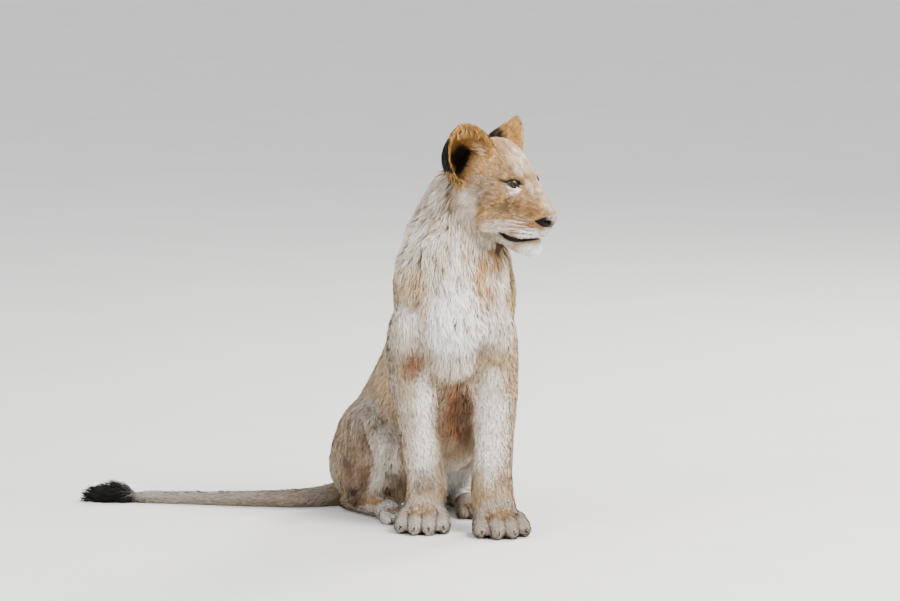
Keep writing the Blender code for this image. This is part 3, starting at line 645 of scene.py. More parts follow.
def coat_colours(points, normals, ears, colours):
    """Colour of the coat at points of the row frame."""
    plan = points - SHIFT
    local = into_head(points)
    wander = noise(plan, (0.030,) * 3, 11)[:, None] - 0.5
    coat = Paint(colours, "sand", len(points))
    hind = soft_spot(plan, (-0.150, 0.360, 0.140), (0.300, 0.260, 0.300), 0.5)
    coat.lay("grey_brown", hind * 0.75)
    broken = plan + wander * np.array((0.020, 0.020, 0.030))
    for name, centre, radii, strength in BODY_MARKS:
        coat.lay(name, soft_spot(broken, centre, radii) * strength)
    paint_hind_legs(coat, into(points, HIPS_ORIGIN, HIP_AXES), wander)
    paint_pattern(coat, plan, head_share(points))
    for paw in PAWS:
        paint_paw(coat, paw, points, wander)
    paint_tail(coat, plan)
    base = coat.result
    face = face_colours(points, local, wander, colours)
    base = base + head_share(points)[:, None] * (face - base)

    # Ears: golden in front and round the rim, black behind, and in the hollow painted shade that is nearly
    # black.
    mirror = mirrored(local)
    hollow = ear_inside(local, normals @ HEAD_AXES.T)
    ear = Paint(colours, "ear_gold", len(points))
    ear.lay("golden", noise(points, (0.010,) * 3, 67) * 0.9)
    ear.lay("umber", soft_step(0.60, 0.85, noise(points, (0.007, 0.007, 0.016), 69)) * 0.30)
    ear.lay("ear_gold", soft_spot(mirror, (0.066, 0.060, 0.040), (0.034, 0.040, 0.045), 0.3) * 0.30)
    ragged = (noise(points, (0.008, 0.008, 0.016), 71) - 0.5) * 0.036
    back = (1 - hollow) * soft_step(0.076, 0.094, mirror[:, 1] + ragged * 0.4)
    ear.lay("black", back * soft_step(0.118, 0.090, mirror[:, 2] + ragged + wander[:, 0] * 0.03))
    base = base + ears[:, None] * (ear.result - base)
    # Painted shade: the hollow of each ear is darkened nearly to black.
    cavity_shade = soft_spot(mirror + wander * 0.010, EAR_CAVITY, (0.044, 0.034, 0.043), 0.62)
    return np.clip(blend(base, colours.black, hollow * cavity_shade * 0.98), 0, 1)


def paint_hind_legs(coat, hips, wander):
    """Pale knee and shank, made paler still as painted light where they face the light; painted shade in the
    folds and under the heels; and a warm line above the hind foot.
    """
    for side, ahead, spread in HIND_LEGS:
        for name, (outwards, forward, up), radii, hardness, wandering, strengths in HIND_MARKS:
            spot = (side * (outwards + spread), -forward - ahead, up)
            share = soft_spot(hips + wander * wandering, spot, radii, hardness)
            coat.lay(name, share * strengths[side > 0])
    # The pale fur of the left hind leg seen between the forelegs, made white as painted light to lift the
    # shade between the legs.
    coat.lay("white", soft_spot(hips, (0.115, -0.140, -0.060), (0.040, 0.080, 0.065), 0.5))
    # Painted shade: umber in the fold between thigh and shank, and more lightly on the thigh's side of it.
    fold, behind = fold_shares(hips + wander * 0.010)
    coat.lay("umber", fold * 0.75 + behind * 0.35)


def paint_pattern(coat, plan, head):
    """Faint rings and spots of a young lion, streaks, and the strands of neck and breast."""
    low_back = soft_spot(plan, (-0.150, 0.340, 0.180), (0.190, 0.200, 0.210), 0.6)
    gap, number = nearest_seed(plan * np.array((1, 1, 0.75)), 0.030, 31)
    ring = np.exp(-((lengths_of(gap) - 0.0085) / 0.0042) ** 2)
    coat.lay("umber", ring * low_back * (number > 0.30) * 0.34)
    legs = soft_step(0.52, 0.42, plan[:, 2]) * soft_step(0.055, 0.100, np.abs(plan[:, 0] - 0.004))
    legs *= soft_step(0.22, 0.17, plan[:, 1])
    gap, number = nearest_seed(plan * np.array((1, 1, 0.8)), 0.026, 37)
    dots = 1 - soft_step(0.004, 0.0095, lengths_of(gap))
    coat.lay("umber", dots * legs * (number > 0.35) * 0.30)

    def strands(size, seed, low, high):
        return soft_step(low, high, noise(plan, size, seed))

    coat.lay("umber", strands((0.012, 0.012, 0.060), 41, 0.58, 0.80) * low_back * 0.50)
    coat.lay("cream", strands((0.011, 0.011, 0.050), 43, 0.62, 0.85) * 0.16)
    coat.lay("umber", strands((0.0065, 0.0065, 0.0180), 45, 0.60, 0.82) * 0.20)
    neck = soft_step(0.42, 0.50, plan[:, 2]) * (1 - head) * soft_step(0.250, 0.150, plan[:, 1])
    coat.lay("golden", strands((0.012, 0.012, 0.070), 47, 0.52, 0.80) * neck * 0.26)
    coat.lay("white", strands((0.010, 0.010, 0.070), 53, 0.55, 0.80) * neck * 0.26)


def paint_paw(coat, paw, points, wander):
    """Warm knuckles, painted shade in the clefts between the toes, and extra white on the right hind paw as
    painted light where the forepaw shades it.
    """
    name, place, yaw, scale, tall = paw
    spots = into_paw(points, place, yaw) / np.array((scale, scale, scale * tall))
    on_paw = soft_spot(spots, (0, -0.010, 0.020), (0.085, 0.085, 0.075), 0.75)
    coat.lay("ash", on_paw * 0.75)
    coat.lay("white", on_paw * 0.10 * (place[0] < 0))
    coat.lay("umber", on_paw * 0.12 * (place[0] > 0))
    # Painted light: the right hind paw is whitened where the forepaw shades it.
    coat.lay("white", on_paw * 0.36 * (name == "hindpaw_right"))
    knuckles = soft_spot(spots + wander * 0.010, (0, -0.026, 0.054), (0.062, 0.032, 0.026), 0.4)
    strands = soft_step(0.34, 0.60, noise(spots, (0.0045, 0.0150, 0.0150), 57))
    coat.lay("ear_gold", knuckles * (0.25 + 0.35 * strands))
    coat.lay("umber", knuckles * strands * 0.35)
    for across in CLEFTS:
        ahead = -0.030 + abs(across) * 0.45
        top = soft_spot(spots, (across * 0.95, ahead + 0.004, 0.050), (0.012, 0.028, 0.022), 0.1)
        coat.lay("ear_gold", top * strands * 0.60)
        coat.lay("umber", top * strands * 0.52)
        # Painted shade in the cleft between two toes.
        cleft = 1 - soft_step(0.0008, 0.0038, np.abs(spots[:, 0] - across))
        cleft *= soft_step(ahead + 0.006, ahead - 0.008, spots[:, 1])
        coat.lay("umber", cleft * on_paw * 0.70)
    coat.lay("umber", soft_step(0.010, 0.002, spots[:, 2]) * on_paw * 0.40)


TASSEL_START = -0.735      # x in the plan where the tassel starts


def paint_tail(coat, plan):
    """Grey tail, a little darker at its root, with a black tassel."""
    along = TASSEL_START - plan[:, 0]
    on_tail = soft_step(-0.255, -0.300, plan[:, 0]) * soft_step(0.34, 0.36, plan[:, 1])
    coat.lay("ash", on_tail * (soft_step(-0.40, -0.10, along) * 0.30 + 0.55))
    coat.lay("black", on_tail * (soft_step(-0.10, -0.36, along) * 0.07 + 0.24))
    fringe = noise(plan, (0.020, 0.010, 0.010), 59) * 0.030
    coat.lay("black", soft_step(-0.006, 0.016, along + fringe - 0.012) * on_tail)


def face_colours(points, local, wander, colours):
    """Colour of the head without its ears."""
    mirror = mirrored(local)
    face = Paint(colours, "face", len(points))
    for name, centre, radii, strength in HEAD_MARKS:
        face.lay(name, soft_spot(mirror + wander * 0.008, centre, radii, 0.35) * strength)
    from_nose = lengths_of(local - np.array(NOSE_SOURCE)) * 0.35
    along = np.stack((mirror[:, 0], from_nose, mirror[:, 2]), 1)
    fleck = soft_step(0.56, 0.78, noise(along, (0.0042,) * 3, 61))
    mottle = soft_step(0.50, 0.80, noise(local, (0.0130,) * 3, 63))
    pale = soft_step(0.52, 0.80, noise(along, (0.0040,) * 3, 65))
    crown = soft_spot(local, (0.0, 0.040, 0.075), (0.090, 0.085, 0.065), 0.4)
    cheek = soft_spot(mirror, (0.060, 0.025, -0.045), (0.050, 0.070, 0.065), 0.4)
    low = soft_step(-0.085, -0.055, mirror[:, 2])
    face.lay("cream", pale * 0.22)
    face.lay("umber", mottle * low * 0.30)
    face.lay("umber", fleck * np.maximum(np.maximum(crown * 0.75, cheek) * 0.62, low * 0.26))
    beside = mirror[:, 0] > 0.012
    for ahead, up in lip_spots():
        behind, above = mirror[:, 1] + ahead, mirror[:, 2] - up
        row = (1 - soft_step(0.0006, 0.0022, np.abs(above))) * beside
        row *= 1 - soft_step(0.004, 0.008, np.abs(behind))
        face.lay("rust", row * 0.50)
        face.lay("umber", (1 - soft_step(0.0012, 0.0026, np.hypot(behind, above))) * beside * 0.95)
    _, gap, thick = along_mouth(local)
    face.lay("black", (1 - soft_step(0.0003, 0.0018, gap - thick)) * 0.92)
    face.lay("umber", soft_spot(mirror, (0.020, -0.034, -0.012), (0.0070, 0.020, 0.016), 0.2) * 0.25)
    for side in (-1, 1):
        outside, outwards, upwards, reach = eye_opening(points, side)
        near = (reach < EYE_RADIUS * 2.0) * 1.0
        lid = (1 - soft_step(0.003, 0.0080, outside)) * (upwards > 0) * near
        face.lay("umber", lid * 0.55)
        bag = soft_step(0.0012, 0.0020, outside) * (1 - soft_step(0.0044, 0.0068, outside))
        bag *= (upwards < 0) * near * soft_step(0.019, 0.011, np.abs(outwards + 0.001))
        face.lay("white", bag)
    face.lay("black", eye_rims(points)[1] * 0.85)
    return face.result


# ---------------------------------------------------------------------------------------------
# Materials

def add_node(tree, kind, inputs=None, stops=None, **settings):
    """Adds a node with its settings and links. stops are the places and colours of a ramp."""
    node = tree.nodes.new(kind)
    for name, value in settings.items():
        setattr(node, name, value)
    sockets = {s.identifier: s for s in node.inputs}
    for name, value in (inputs or {}).items():
        if isinstance(value, bpy.types.NodeSocket):
            tree.links.new(value, sockets[name])
        else:
            sockets[name].default_value = value
    for n, (place, colour) in enumerate(stops or ()):
        spot = node.color_ramp.elements[n] if n < 2 else node.color_ramp.elements.new(place)
        spot.position = place
        spot.color = (*colour, 1)
    return node


def texture(tree, kind, **inputs):
    """A texture that lies by the object's own coordinates."""
    place = add_node(tree, "ShaderNodeTexCoord")
    return add_node(tree, kind, {"Vector": place.outputs["Object"], **inputs})


def kept_value(tree, name, output="Fac"):
    """A value that the mesh keeps at its vertices."""
    return add_node(tree, "ShaderNodeAttribute", attribute_name=name).outputs[output]


def ranged(tree, value, low, high, start=0.3, end=0.7):
    """A value between start and end, moved to lie between low and high."""
    inputs = {"Value": value, "From Min": start, "From Max": end, "To Min": low, "To Max": high}
    return add_node(tree, "ShaderNodeMapRange", inputs).outputs["Result"]


def mixed(tree, kind, first, second, share=1.0, **settings):
    """Mixes two colours (kind RGBA) or two vectors (kind VECTOR)."""
    name = {"RGBA": "Color", "VECTOR": "Vector"}[kind]
    inputs = {"Factor_Float": share, "A_" + name: first, "B_" + name: second}
    node = add_node(tree, "ShaderNodeMix", inputs, data_type=kind, **settings)
    return next(s for s in node.outputs if s.identifier == "Result_" + name)


def multiplied(tree, first, second):
    return mixed(tree, "RGBA", first, second, blend_type="MULTIPLY")


def ramp(tree, value, *stops):
    return add_node(tree, "ShaderNodeValToRGB", {"Fac": value}, stops).outputs["Color"]


def bump(tree, height, strength, distance):
    inputs = {"Height": height, "Strength": strength, "Distance": distance}
    return add_node(tree, "ShaderNodeBump", inputs).outputs["Normal"]


def scaled(colour, *factors):
    """A colour times one factor, or times one for each channel."""
    return tuple(v * k for v, k in zip(colour, factors * (3 // len(factors))))


def new_material(name, **constants):
    """A material with its shader, whose unlinked sockets are set from constants."""
    made = bpy.data.materials.new(name)
    made.use_nodes = True
    shader = made.node_tree.nodes["Principled BSDF"]
    for socket, value in constants.items():
        shader.inputs[socket.replace("_", " ")].default_value = value
    return made, made.node_tree, shader


def hair_material(name):
    """Hair of one of the kinds in HAIRS: matt, with a soft sheen where it is seen edge on."""
    roughness, sheen = HAIRS[name]
    made, tree, shader = new_material(name, Roughness=roughness, IOR=1.50, Specular_IOR_Level=0.30,
                                      Sheen_Weight=sheen, Sheen_Roughness=0.5)
    # Strands differ every 2 mm, drawn coarser than the 0.08 mm of real hair so that it shows.
    fine = texture(tree, "ShaderNodeTexNoise", Scale=450.0, Detail=2.0)
    lighter = ranged(tree, fine.outputs["Fac"], 0.88, 1.10)
    colour = multiplied(tree, kept_value(tree, "coat", "Color"), lighter)
    tree.links.new(colour, shader.inputs["Base Color"])
    return made


def skin_material():
    """Skin under the coat, darkened as painted shade at the roots of the hair, and where it is bare the damp
    leather of nose, lips and lids.
    """
    made, tree, shader = new_material("animal_skin_and_leather", IOR=1.45, Specular_IOR_Level=0.28)
    tint = kept_value(tree, "coat", "Color")
    bare = kept_value(tree, "bare")
    # Undercoat: streaks of down 3 mm apart. Under the hair the skin is kept at 0.70 to 0.92 of the coat's
    # colour as painted shade.
    down = texture(tree, "ShaderNodeTexNoise", Scale=320.0, Detail=3.0).outputs["Fac"]
    shaded_bed = multiplied(tree, tint, ranged(tree, down, 0.70, 0.92))
    # Pebbles of nose leather, 1.4 mm across.
    pebbles = texture(tree, "ShaderNodeTexVoronoi", Scale=700.0).outputs["Distance"]
    surface = mixed(tree, "VECTOR", bump(tree, down, 0.6, 0.0012), bump(tree, pebbles, 0.8, 0.0006), bare)
    tree.links.new(mixed(tree, "RGBA", shaded_bed, tint, bare), shader.inputs["Base Color"])
    tree.links.new(ranged(tree, bare, 0.75, 0.42, 0.0, 1.0), shader.inputs["Roughness"])
    tree.links.new(surface, shader.inputs["Normal"])
    return made


def eye_material(iris):
    """Wet cornea over a hazel iris with a round pupil and a dark ring."""
    made, tree, shader = new_material("wet_eye", Roughness=0.30, IOR=1.376, Coat_Weight=0.6,
                                      Coat_Roughness=0.03, Coat_IOR=1.376)
    off_axis = kept_value(tree, "off_axis")
    # Fibres of the iris: 90 round the pupil.
    place = add_node(tree, "ShaderNodeCombineXYZ", {"X": kept_value(tree, "around"), "Y": off_axis})
    stretched = add_node(tree, "ShaderNodeMapping",
                         {"Vector": place.outputs["Vector"], "Scale": (90.0, 3.0, 1.0)})
    fibres = add_node(tree, "ShaderNodeTexNoise",
                      {"Vector": stretched.outputs["Vector"], "Scale": 1.0, "Detail": 3.0})
    pupil = (0.002, 0.002, 0.002)
    rings = ramp(tree, off_axis, (0.00, pupil), (1.00, (0.030, 0.018, 0.012)), (0.160, pupil),
                 (0.175, scaled(iris, 1.35, 1.15, 0.80)), (0.22, iris), (0.31, scaled(iris, 0.40)),
                 (0.345, (0.008, 0.006, 0.004)), (0.40, (0.05, 0.033, 0.025)))
    colour = multiplied(tree, rings, ranged(tree, fibres.outputs["Fac"], 0.60, 1.30))
    tree.links.new(colour, shader.inputs["Base Color"])
    return made


def claw_material(dark):
    """Horn of the claws: smooth, in dark and paler growth lines."""
    made, tree, shader = new_material("claw_horn", Roughness=0.32, IOR=1.54, Coat_Weight=0.2,
                                      Coat_Roughness=0.2)
    # Growth lines, 1.5 mm apart.
    lines = texture(tree, "ShaderNodeTexWave", Scale=110.0, Distortion=2.0)
    paler = tuple(v * 2.2 + 0.01 for v in dark)
    tree.links.new(ramp(tree, lines.outputs["Fac"], (0.0, dark), (1.0, paler)), shader.inputs["Base Color"])
    return made


def whisker_material(white):
    """Whiskers: stiff smooth bristles, nearly white and slightly glossy."""
    made, tree, shader = new_material("whisker_bristle", Roughness=0.40, IOR=1.55)
    slow = texture(tree, "ShaderNodeTexNoise", Scale=40.0)
    colour = ramp(tree, slow.outputs["Fac"], (0.3, scaled(white, 0.75)), (0.7, white))
    tree.links.new(colour, shader.inputs["Base Color"])
    return made


def floor_material(tint):
    """Matt painted studio floor, very slightly uneven."""
    made, tree, shader = new_material("painted_studio_floor", Roughness=0.85)
    # Faint unevenness of the paint, 300 mm across.
    slow = texture(tree, "ShaderNodeTexNoise", Scale=3.3, Detail=2.0)
    colour = ramp(tree, slow.outputs["Fac"], (0.3, scaled(tint, 0.97)), (0.7, tint))
    tree.links.new(colour, shader.inputs["Base Color"])
    return made


# ---------------------------------------------------------------------------------------------
# Meshes

def show(name, data):
    """Puts a mesh in the scene as a piece of the lion."""
    made = bpy.data.objects.new(name, data)
    bpy.context.scene.collection.objects.link(made)
    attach(made, "root")
    return made


def bake_modifiers(obj):
    bpy.context.view_layer.update()
    graph = bpy.context.evaluated_depsgraph_get()
    data = bpy.data.meshes.new_from_object(obj.evaluated_get(graph), depsgraph=graph)
    obj.modifiers.clear()
    old = obj.data
    obj.data = data
    bpy.data.meshes.remove(old)


def fetched(source, what, width, kind=np.float32):
    """One property of every member of a collection of the mesh, as an array with width columns."""
    values = np.empty(len(source) * width, kind)
    source.foreach_get(what, values)
    return values.reshape(-1, width)


def points_of(data):
    return fetched(data.vertices, "co", 3).astype(float)


def normals_of(data):
    return fetched(data.vertex_normals, "vector", 3).astype(float)


def edges_of(data):
    return fetched(data.edges, "vertices", 2, np.int32)


def put_vertices(data, points):
    data.vertices.foreach_set("co", points.astype(np.float32).ravel())
    data.update()


def put_values(data, name, values):
    layer = data.attributes.get(name) or data.attributes.new(name, "FLOAT", "POINT")
    layer.data.foreach_set("value", values.astype(np.float32))


def values_of(data, name):
    return fetched(data.attributes[name].data, "value", 1)[:, 0].astype(float)


def put_colours(data, colours):
    layer = data.color_attributes.new("coat", "FLOAT_COLOR", "POINT")
    values = np.ones((len(colours), 4), np.float32)
    values[:, :3] = colours
    layer.data.foreach_set("color", values.ravel())


def relaxed(values, edges, rounds, strength):
    """Moves each value towards the mean of its neighbours'. strength is one number or one per value."""
    count = np.maximum(np.bincount(edges.ravel(), minlength=len(values)), 1)
    strength = np.broadcast_to(np.asarray(strength, float), (len(values),))
    for _ in range(rounds):
        for axis in range(values.shape[1]):
            column = values[:, axis]
            near = np.bincount(edges[:, 0], column[edges[:, 1]], len(values))
            near += np.bincount(edges[:, 1], column[edges[:, 0]], len(values))
            values[:, axis] = column + strength * (near / count - column)
    return values


FLESH_GROWTH = 0.0006      # solids and eyeballs grow by this much before they are fused
EYE_GROWTH = 0.0012


def swollen_nodes():
    """All the flesh and the eyeballs in one mesh, each grown a little so that they overlap."""
    whole = bmesh.new()
    for name in sorted(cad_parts):
        part = bmesh.new()
        part.from_mesh(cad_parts[name].data)
        bmesh.ops.remove_doubles(part, verts=part.verts, dist=1e-6)
        if name.startswith("ear_"):
            bmesh.ops.subdivide_edges(part, edges=part.edges, cuts=1, use_grid_fill=True, smooth=1.0)
        bmesh.ops.recalc_face_normals(part, faces=part.faces)
        part.normal_update()
        for corner, normal in [(v, v.normal.copy()) for v in part.verts]:
            corner.co += normal * (EYE_GROWTH if name.startswith("eye") else FLESH_GROWTH)
        data = bpy.data.meshes.new("part")
        part.to_mesh(data)
        part.free()
        whole.from_mesh(data)
        bpy.data.meshes.remove(data)
    return whole


def ear_labels(points):
    """1 for each point whose nearest solid is an ear."""
    spots = []
    for name in FLESH:
        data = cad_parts[name].data
        belongs = 1.0 if name.startswith("ear_") else 0.0
        spots += [(v.co.copy(), belongs) for v in data.vertices]
        spots += [(p.center.copy(), belongs) for p in data.polygons]
    tree = kdtree.KDTree(len(spots))
    for n, (place, _) in enumerate(spots):
        tree.insert(place, n)
    tree.balance()
    low = HEAD_ORIGIN[2] - 0.05
    labels = np.zeros(len(points))
    for n in np.nonzero(points[:, 2] > low)[0]:
        labels[n] = spots[tree.find(points[n])[1]][1]
    return labels


def refine(obj, chosen):
    """Splits the faces whose corners are all chosen."""
    mesh = bmesh.new()
    mesh.from_mesh(obj.data)
    mesh.verts.ensure_lookup_table()
    edges = [e for e in mesh.edges if chosen[e.verts[0].index] and chosen[e.verts[1].index]]
    bmesh.ops.subdivide_edges(mesh, edges=edges, cuts=1, use_grid_fill=True)
    bmesh.ops.triangulate(mesh, faces=[f for f in mesh.faces if len(f.verts) > 4])
    mesh.to_mesh(obj.data)
    mesh.free()


def carve_eyes(points):
    """Presses the skin back behind each eyeball and lays rounded lids over it."""
    points = points.copy()
    for side in (-1, 1):
        outside, _, upwards, reach = eye_opening(points, side)
        near = (reach < EYE_RADIUS * 2.1) & (outside < 0.015)
        lid = EYE_RADIUS - 0.0030 + 0.0046 * soft_step(-0.0012, 0.0010, outside)
        lid += 0.0008 * soft_step(0.0010, 0.0035, outside) * (upwards > 0)
        wanted = lid + soft_step(0.0035, 0.0130, outside) * (reach - lid)
        ratio = np.where(near, wanted / reach, 1.0)
        points = EYES[side] + (points - EYES[side]) * ratio[:, None]
    return points


def carve_face(points, normals):
    """Nose pad, nostrils, cleft of the lip and line of the mouth."""
    local = into_head(points)
    push = 0.0014 * leather_share(local)
    push = push - 0.0060 * nostril_share(local)
    push -= 0.0016 * philtrum_share(local)
    above, gap, _ = along_mouth(local)
    push -= 0.0034 * np.exp(-(gap / 0.0024) ** 2)
    push += 0.0014 * np.exp(-((above - 0.0070) / 0.0036) ** 2)
    push += 0.0010 * np.exp(-((above + 0.0055) / 0.0030) ** 2)
    far = lengths_of(local) > 0.22
    return points + normals * np.where(far, 0.0, push)[:, None]


def carve_folds(points, normals):
    """Fold between thigh and shank, with the thigh swelling over it."""
    depth, behind = fold_shares(into(points, HIPS_ORIGIN, HIP_AXES))
    return points + normals * (0.0028 * behind - 0.0070 * depth)[:, None]


def coat_depth(points, ears):
    """How far the skin lies inside the solids, so that the coat fills the rest."""
    length = hair_length(points)
    lift = SHORT_LIFT + (LONG_LIFT - SHORT_LIFT) * soft_step(0.016, 0.030, length)
    depth = length * lift
    return depth + ears * (0.0013 - depth)


HEAD_REACH = 0.21          # from the head's origin to the far side of the face
SKIN_TRIANGLES = 185000
COAT_LIMIT = 200000        # a piece of coat has fewer triangles than this

HAIRS = {"short_guard_hair": (0.62, 0.10), "long_soft_hair": (0.70, 0.15), "black_tassel_hair": (0.55, 0.05)}

# Parts of the coat: whose spacing and width its tufts have, whether they are long, slot, kind of
# hair, and the stretches of BODY_PLAN that make up the part.
COATS = {
    "head": ("face", False, "golden_coat", "short_guard_hair", ()),
    "ears": ("face", False, "golden_coat", "short_guard_hair", ()),
    "neck": ("long", True, "pale_coat", "long_soft_hair", (0, 1)),
    "breast": ("long", True, "pale_coat", "long_soft_hair", (2, 3, 4)),
    "back": ("body", False, "sandy_coat", "short_guard_hair", (5, 6, 7)),
    "foreleg_right": ("body", False, "pale_coat", "short_guard_hair", (8, 9, 10, 11)),
    "foreleg_left": ("body", False, "pale_coat", "short_guard_hair", (12, 13, 14, 15)),
    "hindleg_right": ("body", False, "sandy_coat", "short_guard_hair", (16, 17, 18, 19)),
    "hindleg_left": ("body", False, "sandy_coat", "short_guard_hair", (20, 21, 22, 23)),
    "tail": ("body", False, "sandy_coat", "short_guard_hair", (24, 25, 26)),
    "tassel": ("body", True, "black_tuft", "black_tassel_hair", (27,)),
}
PARTS = list(COATS)        # the skin keeps the number of its part in this list


def part_numbers(points, ears):
    """Which of PARTS each point of the row frame belongs to."""
    weights = body_weights(points - SHIFT)
    scores = np.zeros((len(PARTS), len(points)))
    for number, (*_, rows) in enumerate(COATS.values()):
        scores[number] = weights[list(rows)].sum(0)
    numbers = scores.argmax(0)
    numbers[head_share(points) > 0.5] = PARTS.index("head")
    numbers[ears > 0.5] = PARTS.index("ears")
    return numbers


def unwrap(obj):
    """An unwrap of the skin's own shape, in a map named OFBake."""
    layer = obj.data.uv_layers.new(name="OFBake")
    layer.active = True
    bpy.ops.object.select_all(action="DESELECT")
    obj.select_set(True)
    bpy.context.view_layer.objects.active = obj
    bpy.ops.object.mode_set(mode="EDIT")
    bpy.ops.mesh.select_all(action="SELECT")
    bpy.ops.uv.smart_project(angle_limit=math.radians(66), island_margin=0.002)
    bpy.ops.object.mode_set(mode="OBJECT")


def fused_flesh(voxel):
    """All the solids of the flesh as one closed skin."""
    whole = swollen_nodes()
    data = bpy.data.meshes.new("lion_skin")
    whole.to_mesh(data)
    whole.free()
    skin = bpy.data.objects.new("lion_skin", data)
    bpy.context.scene.collection.objects.link(skin)
    fuse = skin.modifiers.new("fuse", "REMESH")
    fuse.mode = "VOXEL"
    fuse.voxel_size = voxel
    bake_modifiers(skin)
    return skin


def sink_skin(data):
    """Smooths the skin and lowers it by the depth of the coat. Head, ears and toes stay sharp."""
    points, edges = points_of(data), edges_of(data)
    ears = ear_labels(points)
    fine = np.maximum(head_share(points), relaxed(ears[:, None].copy(), edges, 4, 0.5)[:, 0])
    for _, place, yaw, scale, _ in PAWS:
        toes = soft_spot(into_paw(points, place, yaw) / scale, (0, -0.048, 0.010), (0.080, 0.044, 0.034), 0.6)
        fine = np.maximum(fine, toes)
    flat = points[:, 2] < 0.0016
    on_floor = np.maximum(points[flat, 2], 0.0)
    points = relaxed(points, edges, 5, 0.5)
    points = relaxed(points, edges, 20, 0.5 * (1 - fine))
    points[flat, 2] = on_floor
    put_vertices(data, points)

    depth = relaxed(coat_depth(points, ears)[:, None], edges, 12, 0.5)[:, 0]
    points = points - normals_of(data) * depth[:, None]
    points = relaxed(points, edges, 6, 0.5 * (1 - fine))
    points[flat, 2] = on_floor
    points[:, 2] = np.maximum(points[:, 2], 0.0)
    put_vertices(data, points)
    put_values(data, "ear", relaxed(ears[:, None].copy(), edges, 3, 0.5)[:, 0])
    points = carve_folds(points, normals_of(data))
    points[flat, 2] = on_floor
    put_vertices(data, points)


def front_of_head(points):
    local = into_head(points)
    return (local[:, 1] < 0.030) & (lengths_of(local) < 0.20)


def nose_mouth_and_lids(points):
    local = into_head(points)
    chosen = (local[:, 1] < -0.050) & (lengths_of(local) < 0.20)
    chosen |= along_mouth(local)[1] < 0.009
    for side in (-1, 1):
        outside, _, _, reach = eye_opening(points, side)
        chosen |= (outside < 0.009) & (reach < EYE_RADIUS * 2)
    return chosen


def relaxed_face(points, edges, rounds):
    local = into_head(points)
    face = (local[:, 1] < 0.040) & (lengths_of(local) < HEAD_REACH)
    return relaxed(points, edges, rounds, 0.5 * face)


def carve_skin(skin):
    """Gives the face finer faces and its features, and returns its points."""
    for chosen in (front_of_head, nose_mouth_and_lids):
        refine(skin, chosen(points_of(skin.data)))
        put_vertices(skin.data, relaxed_face(points_of(skin.data), edges_of(skin.data), 4))
    points = carve_face(points_of(skin.data), normals_of(skin.data))
    points = carve_eyes(relaxed_face(points, edges_of(skin.data), 2))
    put_vertices(skin.data, points)
    return points


def thin_skin(skin, points):
    """Thins the skin of the body to SKIN_TRIANGLES in all, and leaves the face as it is."""
    local = into_head(points)
    free = soft_step(0.02, 0.06, local[:, 1]) + (lengths_of(local) > HEAD_REACH)
    free = np.clip(free, 0, 1)
    group = skin.vertex_groups.new(name="thin")
    for level in range(1, 5):
        chosen = np.nonzero((free > (level - 1) / 4) & (free <= level / 4))[0]
        group.add(chosen.tolist(), level / 4, "REPLACE")
    faces = sum(len(p.vertices) - 2 for p in skin.data.polygons)
    thin = skin.modifiers.new("thin", "DECIMATE")
    thin.ratio = min(1.0, SKIN_TRIANGLES / faces)
    thin.vertex_group = "thin"
    thin.use_collapse_triangulate = True
    bake_modifiers(skin)
    skin.vertex_groups.clear()
    tidy = bmesh.new()
    tidy.from_mesh(skin.data)
    bmesh.ops.triangulate(tidy, faces=tidy.faces)
    tidy.to_mesh(skin.data)
    tidy.free()


def colour_skin(data, colours):
    """Keeps on the skin its colour, how bare it is, and the part of the coat that covers it."""
    points, normals, ears = points_of(data), normals_of(data), values_of(data, "ear")
    local = into_head(points)
    leather = np.maximum(leather_share(local), philtrum_share(local)) * (lengths_of(local) < 0.16)
    _, gap, thick = along_mouth(local)
    lips = 1 - soft_step(0.0, 0.0012, gap - thick)
    rims, _ = eye_rims(points)
    hollow = ear_inside(local, normals @ HEAD_AXES.T) * ears
    # Pale pinkish leather on the front and top of the nose, lightened further as a painted highlight of the
    # lit top, broken into patches.
    pale_top_and_highlight = soft_step(0.077, 0.089, -local[:, 1] + (local[:, 2] + 0.075) * 0.35)
    pale_top_and_highlight *= soft_step(-0.097, -0.087, local[:, 2])
    pale_top_and_highlight *= 0.45 + 0.55 * soft_step(0.3, 0.6, noise(points, (0.0022,) * 3, 91))
    tint = coat_colours(points, normals, ears, colours)
    tint = blend(tint, colours.leather, leather)
    tint = blend(tint, colours.leather_pale_and_highlight, leather * pale_top_and_highlight * 0.9)
    tint = blend(tint, colours.black, np.maximum(lips, rims))
    # Painted shade: the holes of the nostrils are darkened towards black.
    tint = blend(tint, (0.0, 0.0, 0.0), nostril_share(local) * leather * 0.9)
    put_values(data, "bare", np.clip(leather + lips + rims + hollow * 0.3, 0, 1))
    put_colours(data, tint)
    put_values(data, "part", part_numbers(points, ears).astype(float))


class LION_OT_skin(bpy.types.Operator):
    """One skin over all the flesh, with lids, nose leather, lips and ears"""
    bl_idname = "lion.skin"
    bl_label = "Skin"

    def execute(self, context):
        skin = fused_flesh(context.scene.lion_sizes.skin_voxel)
        sink_skin(skin.data)
        thin_skin(skin, carve_skin(skin))
        skin.data.shade_smooth()
        colour_skin(skin.data, context.scene.lion_colours)
        unwrap(skin)
        skin.data.materials.clear()
        skin.data.materials.append(skin_material())
        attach(skin, "root")
        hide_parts(*FLESH)
        print("skin", len(skin.data.polygons))
        return {"FINISHED"}


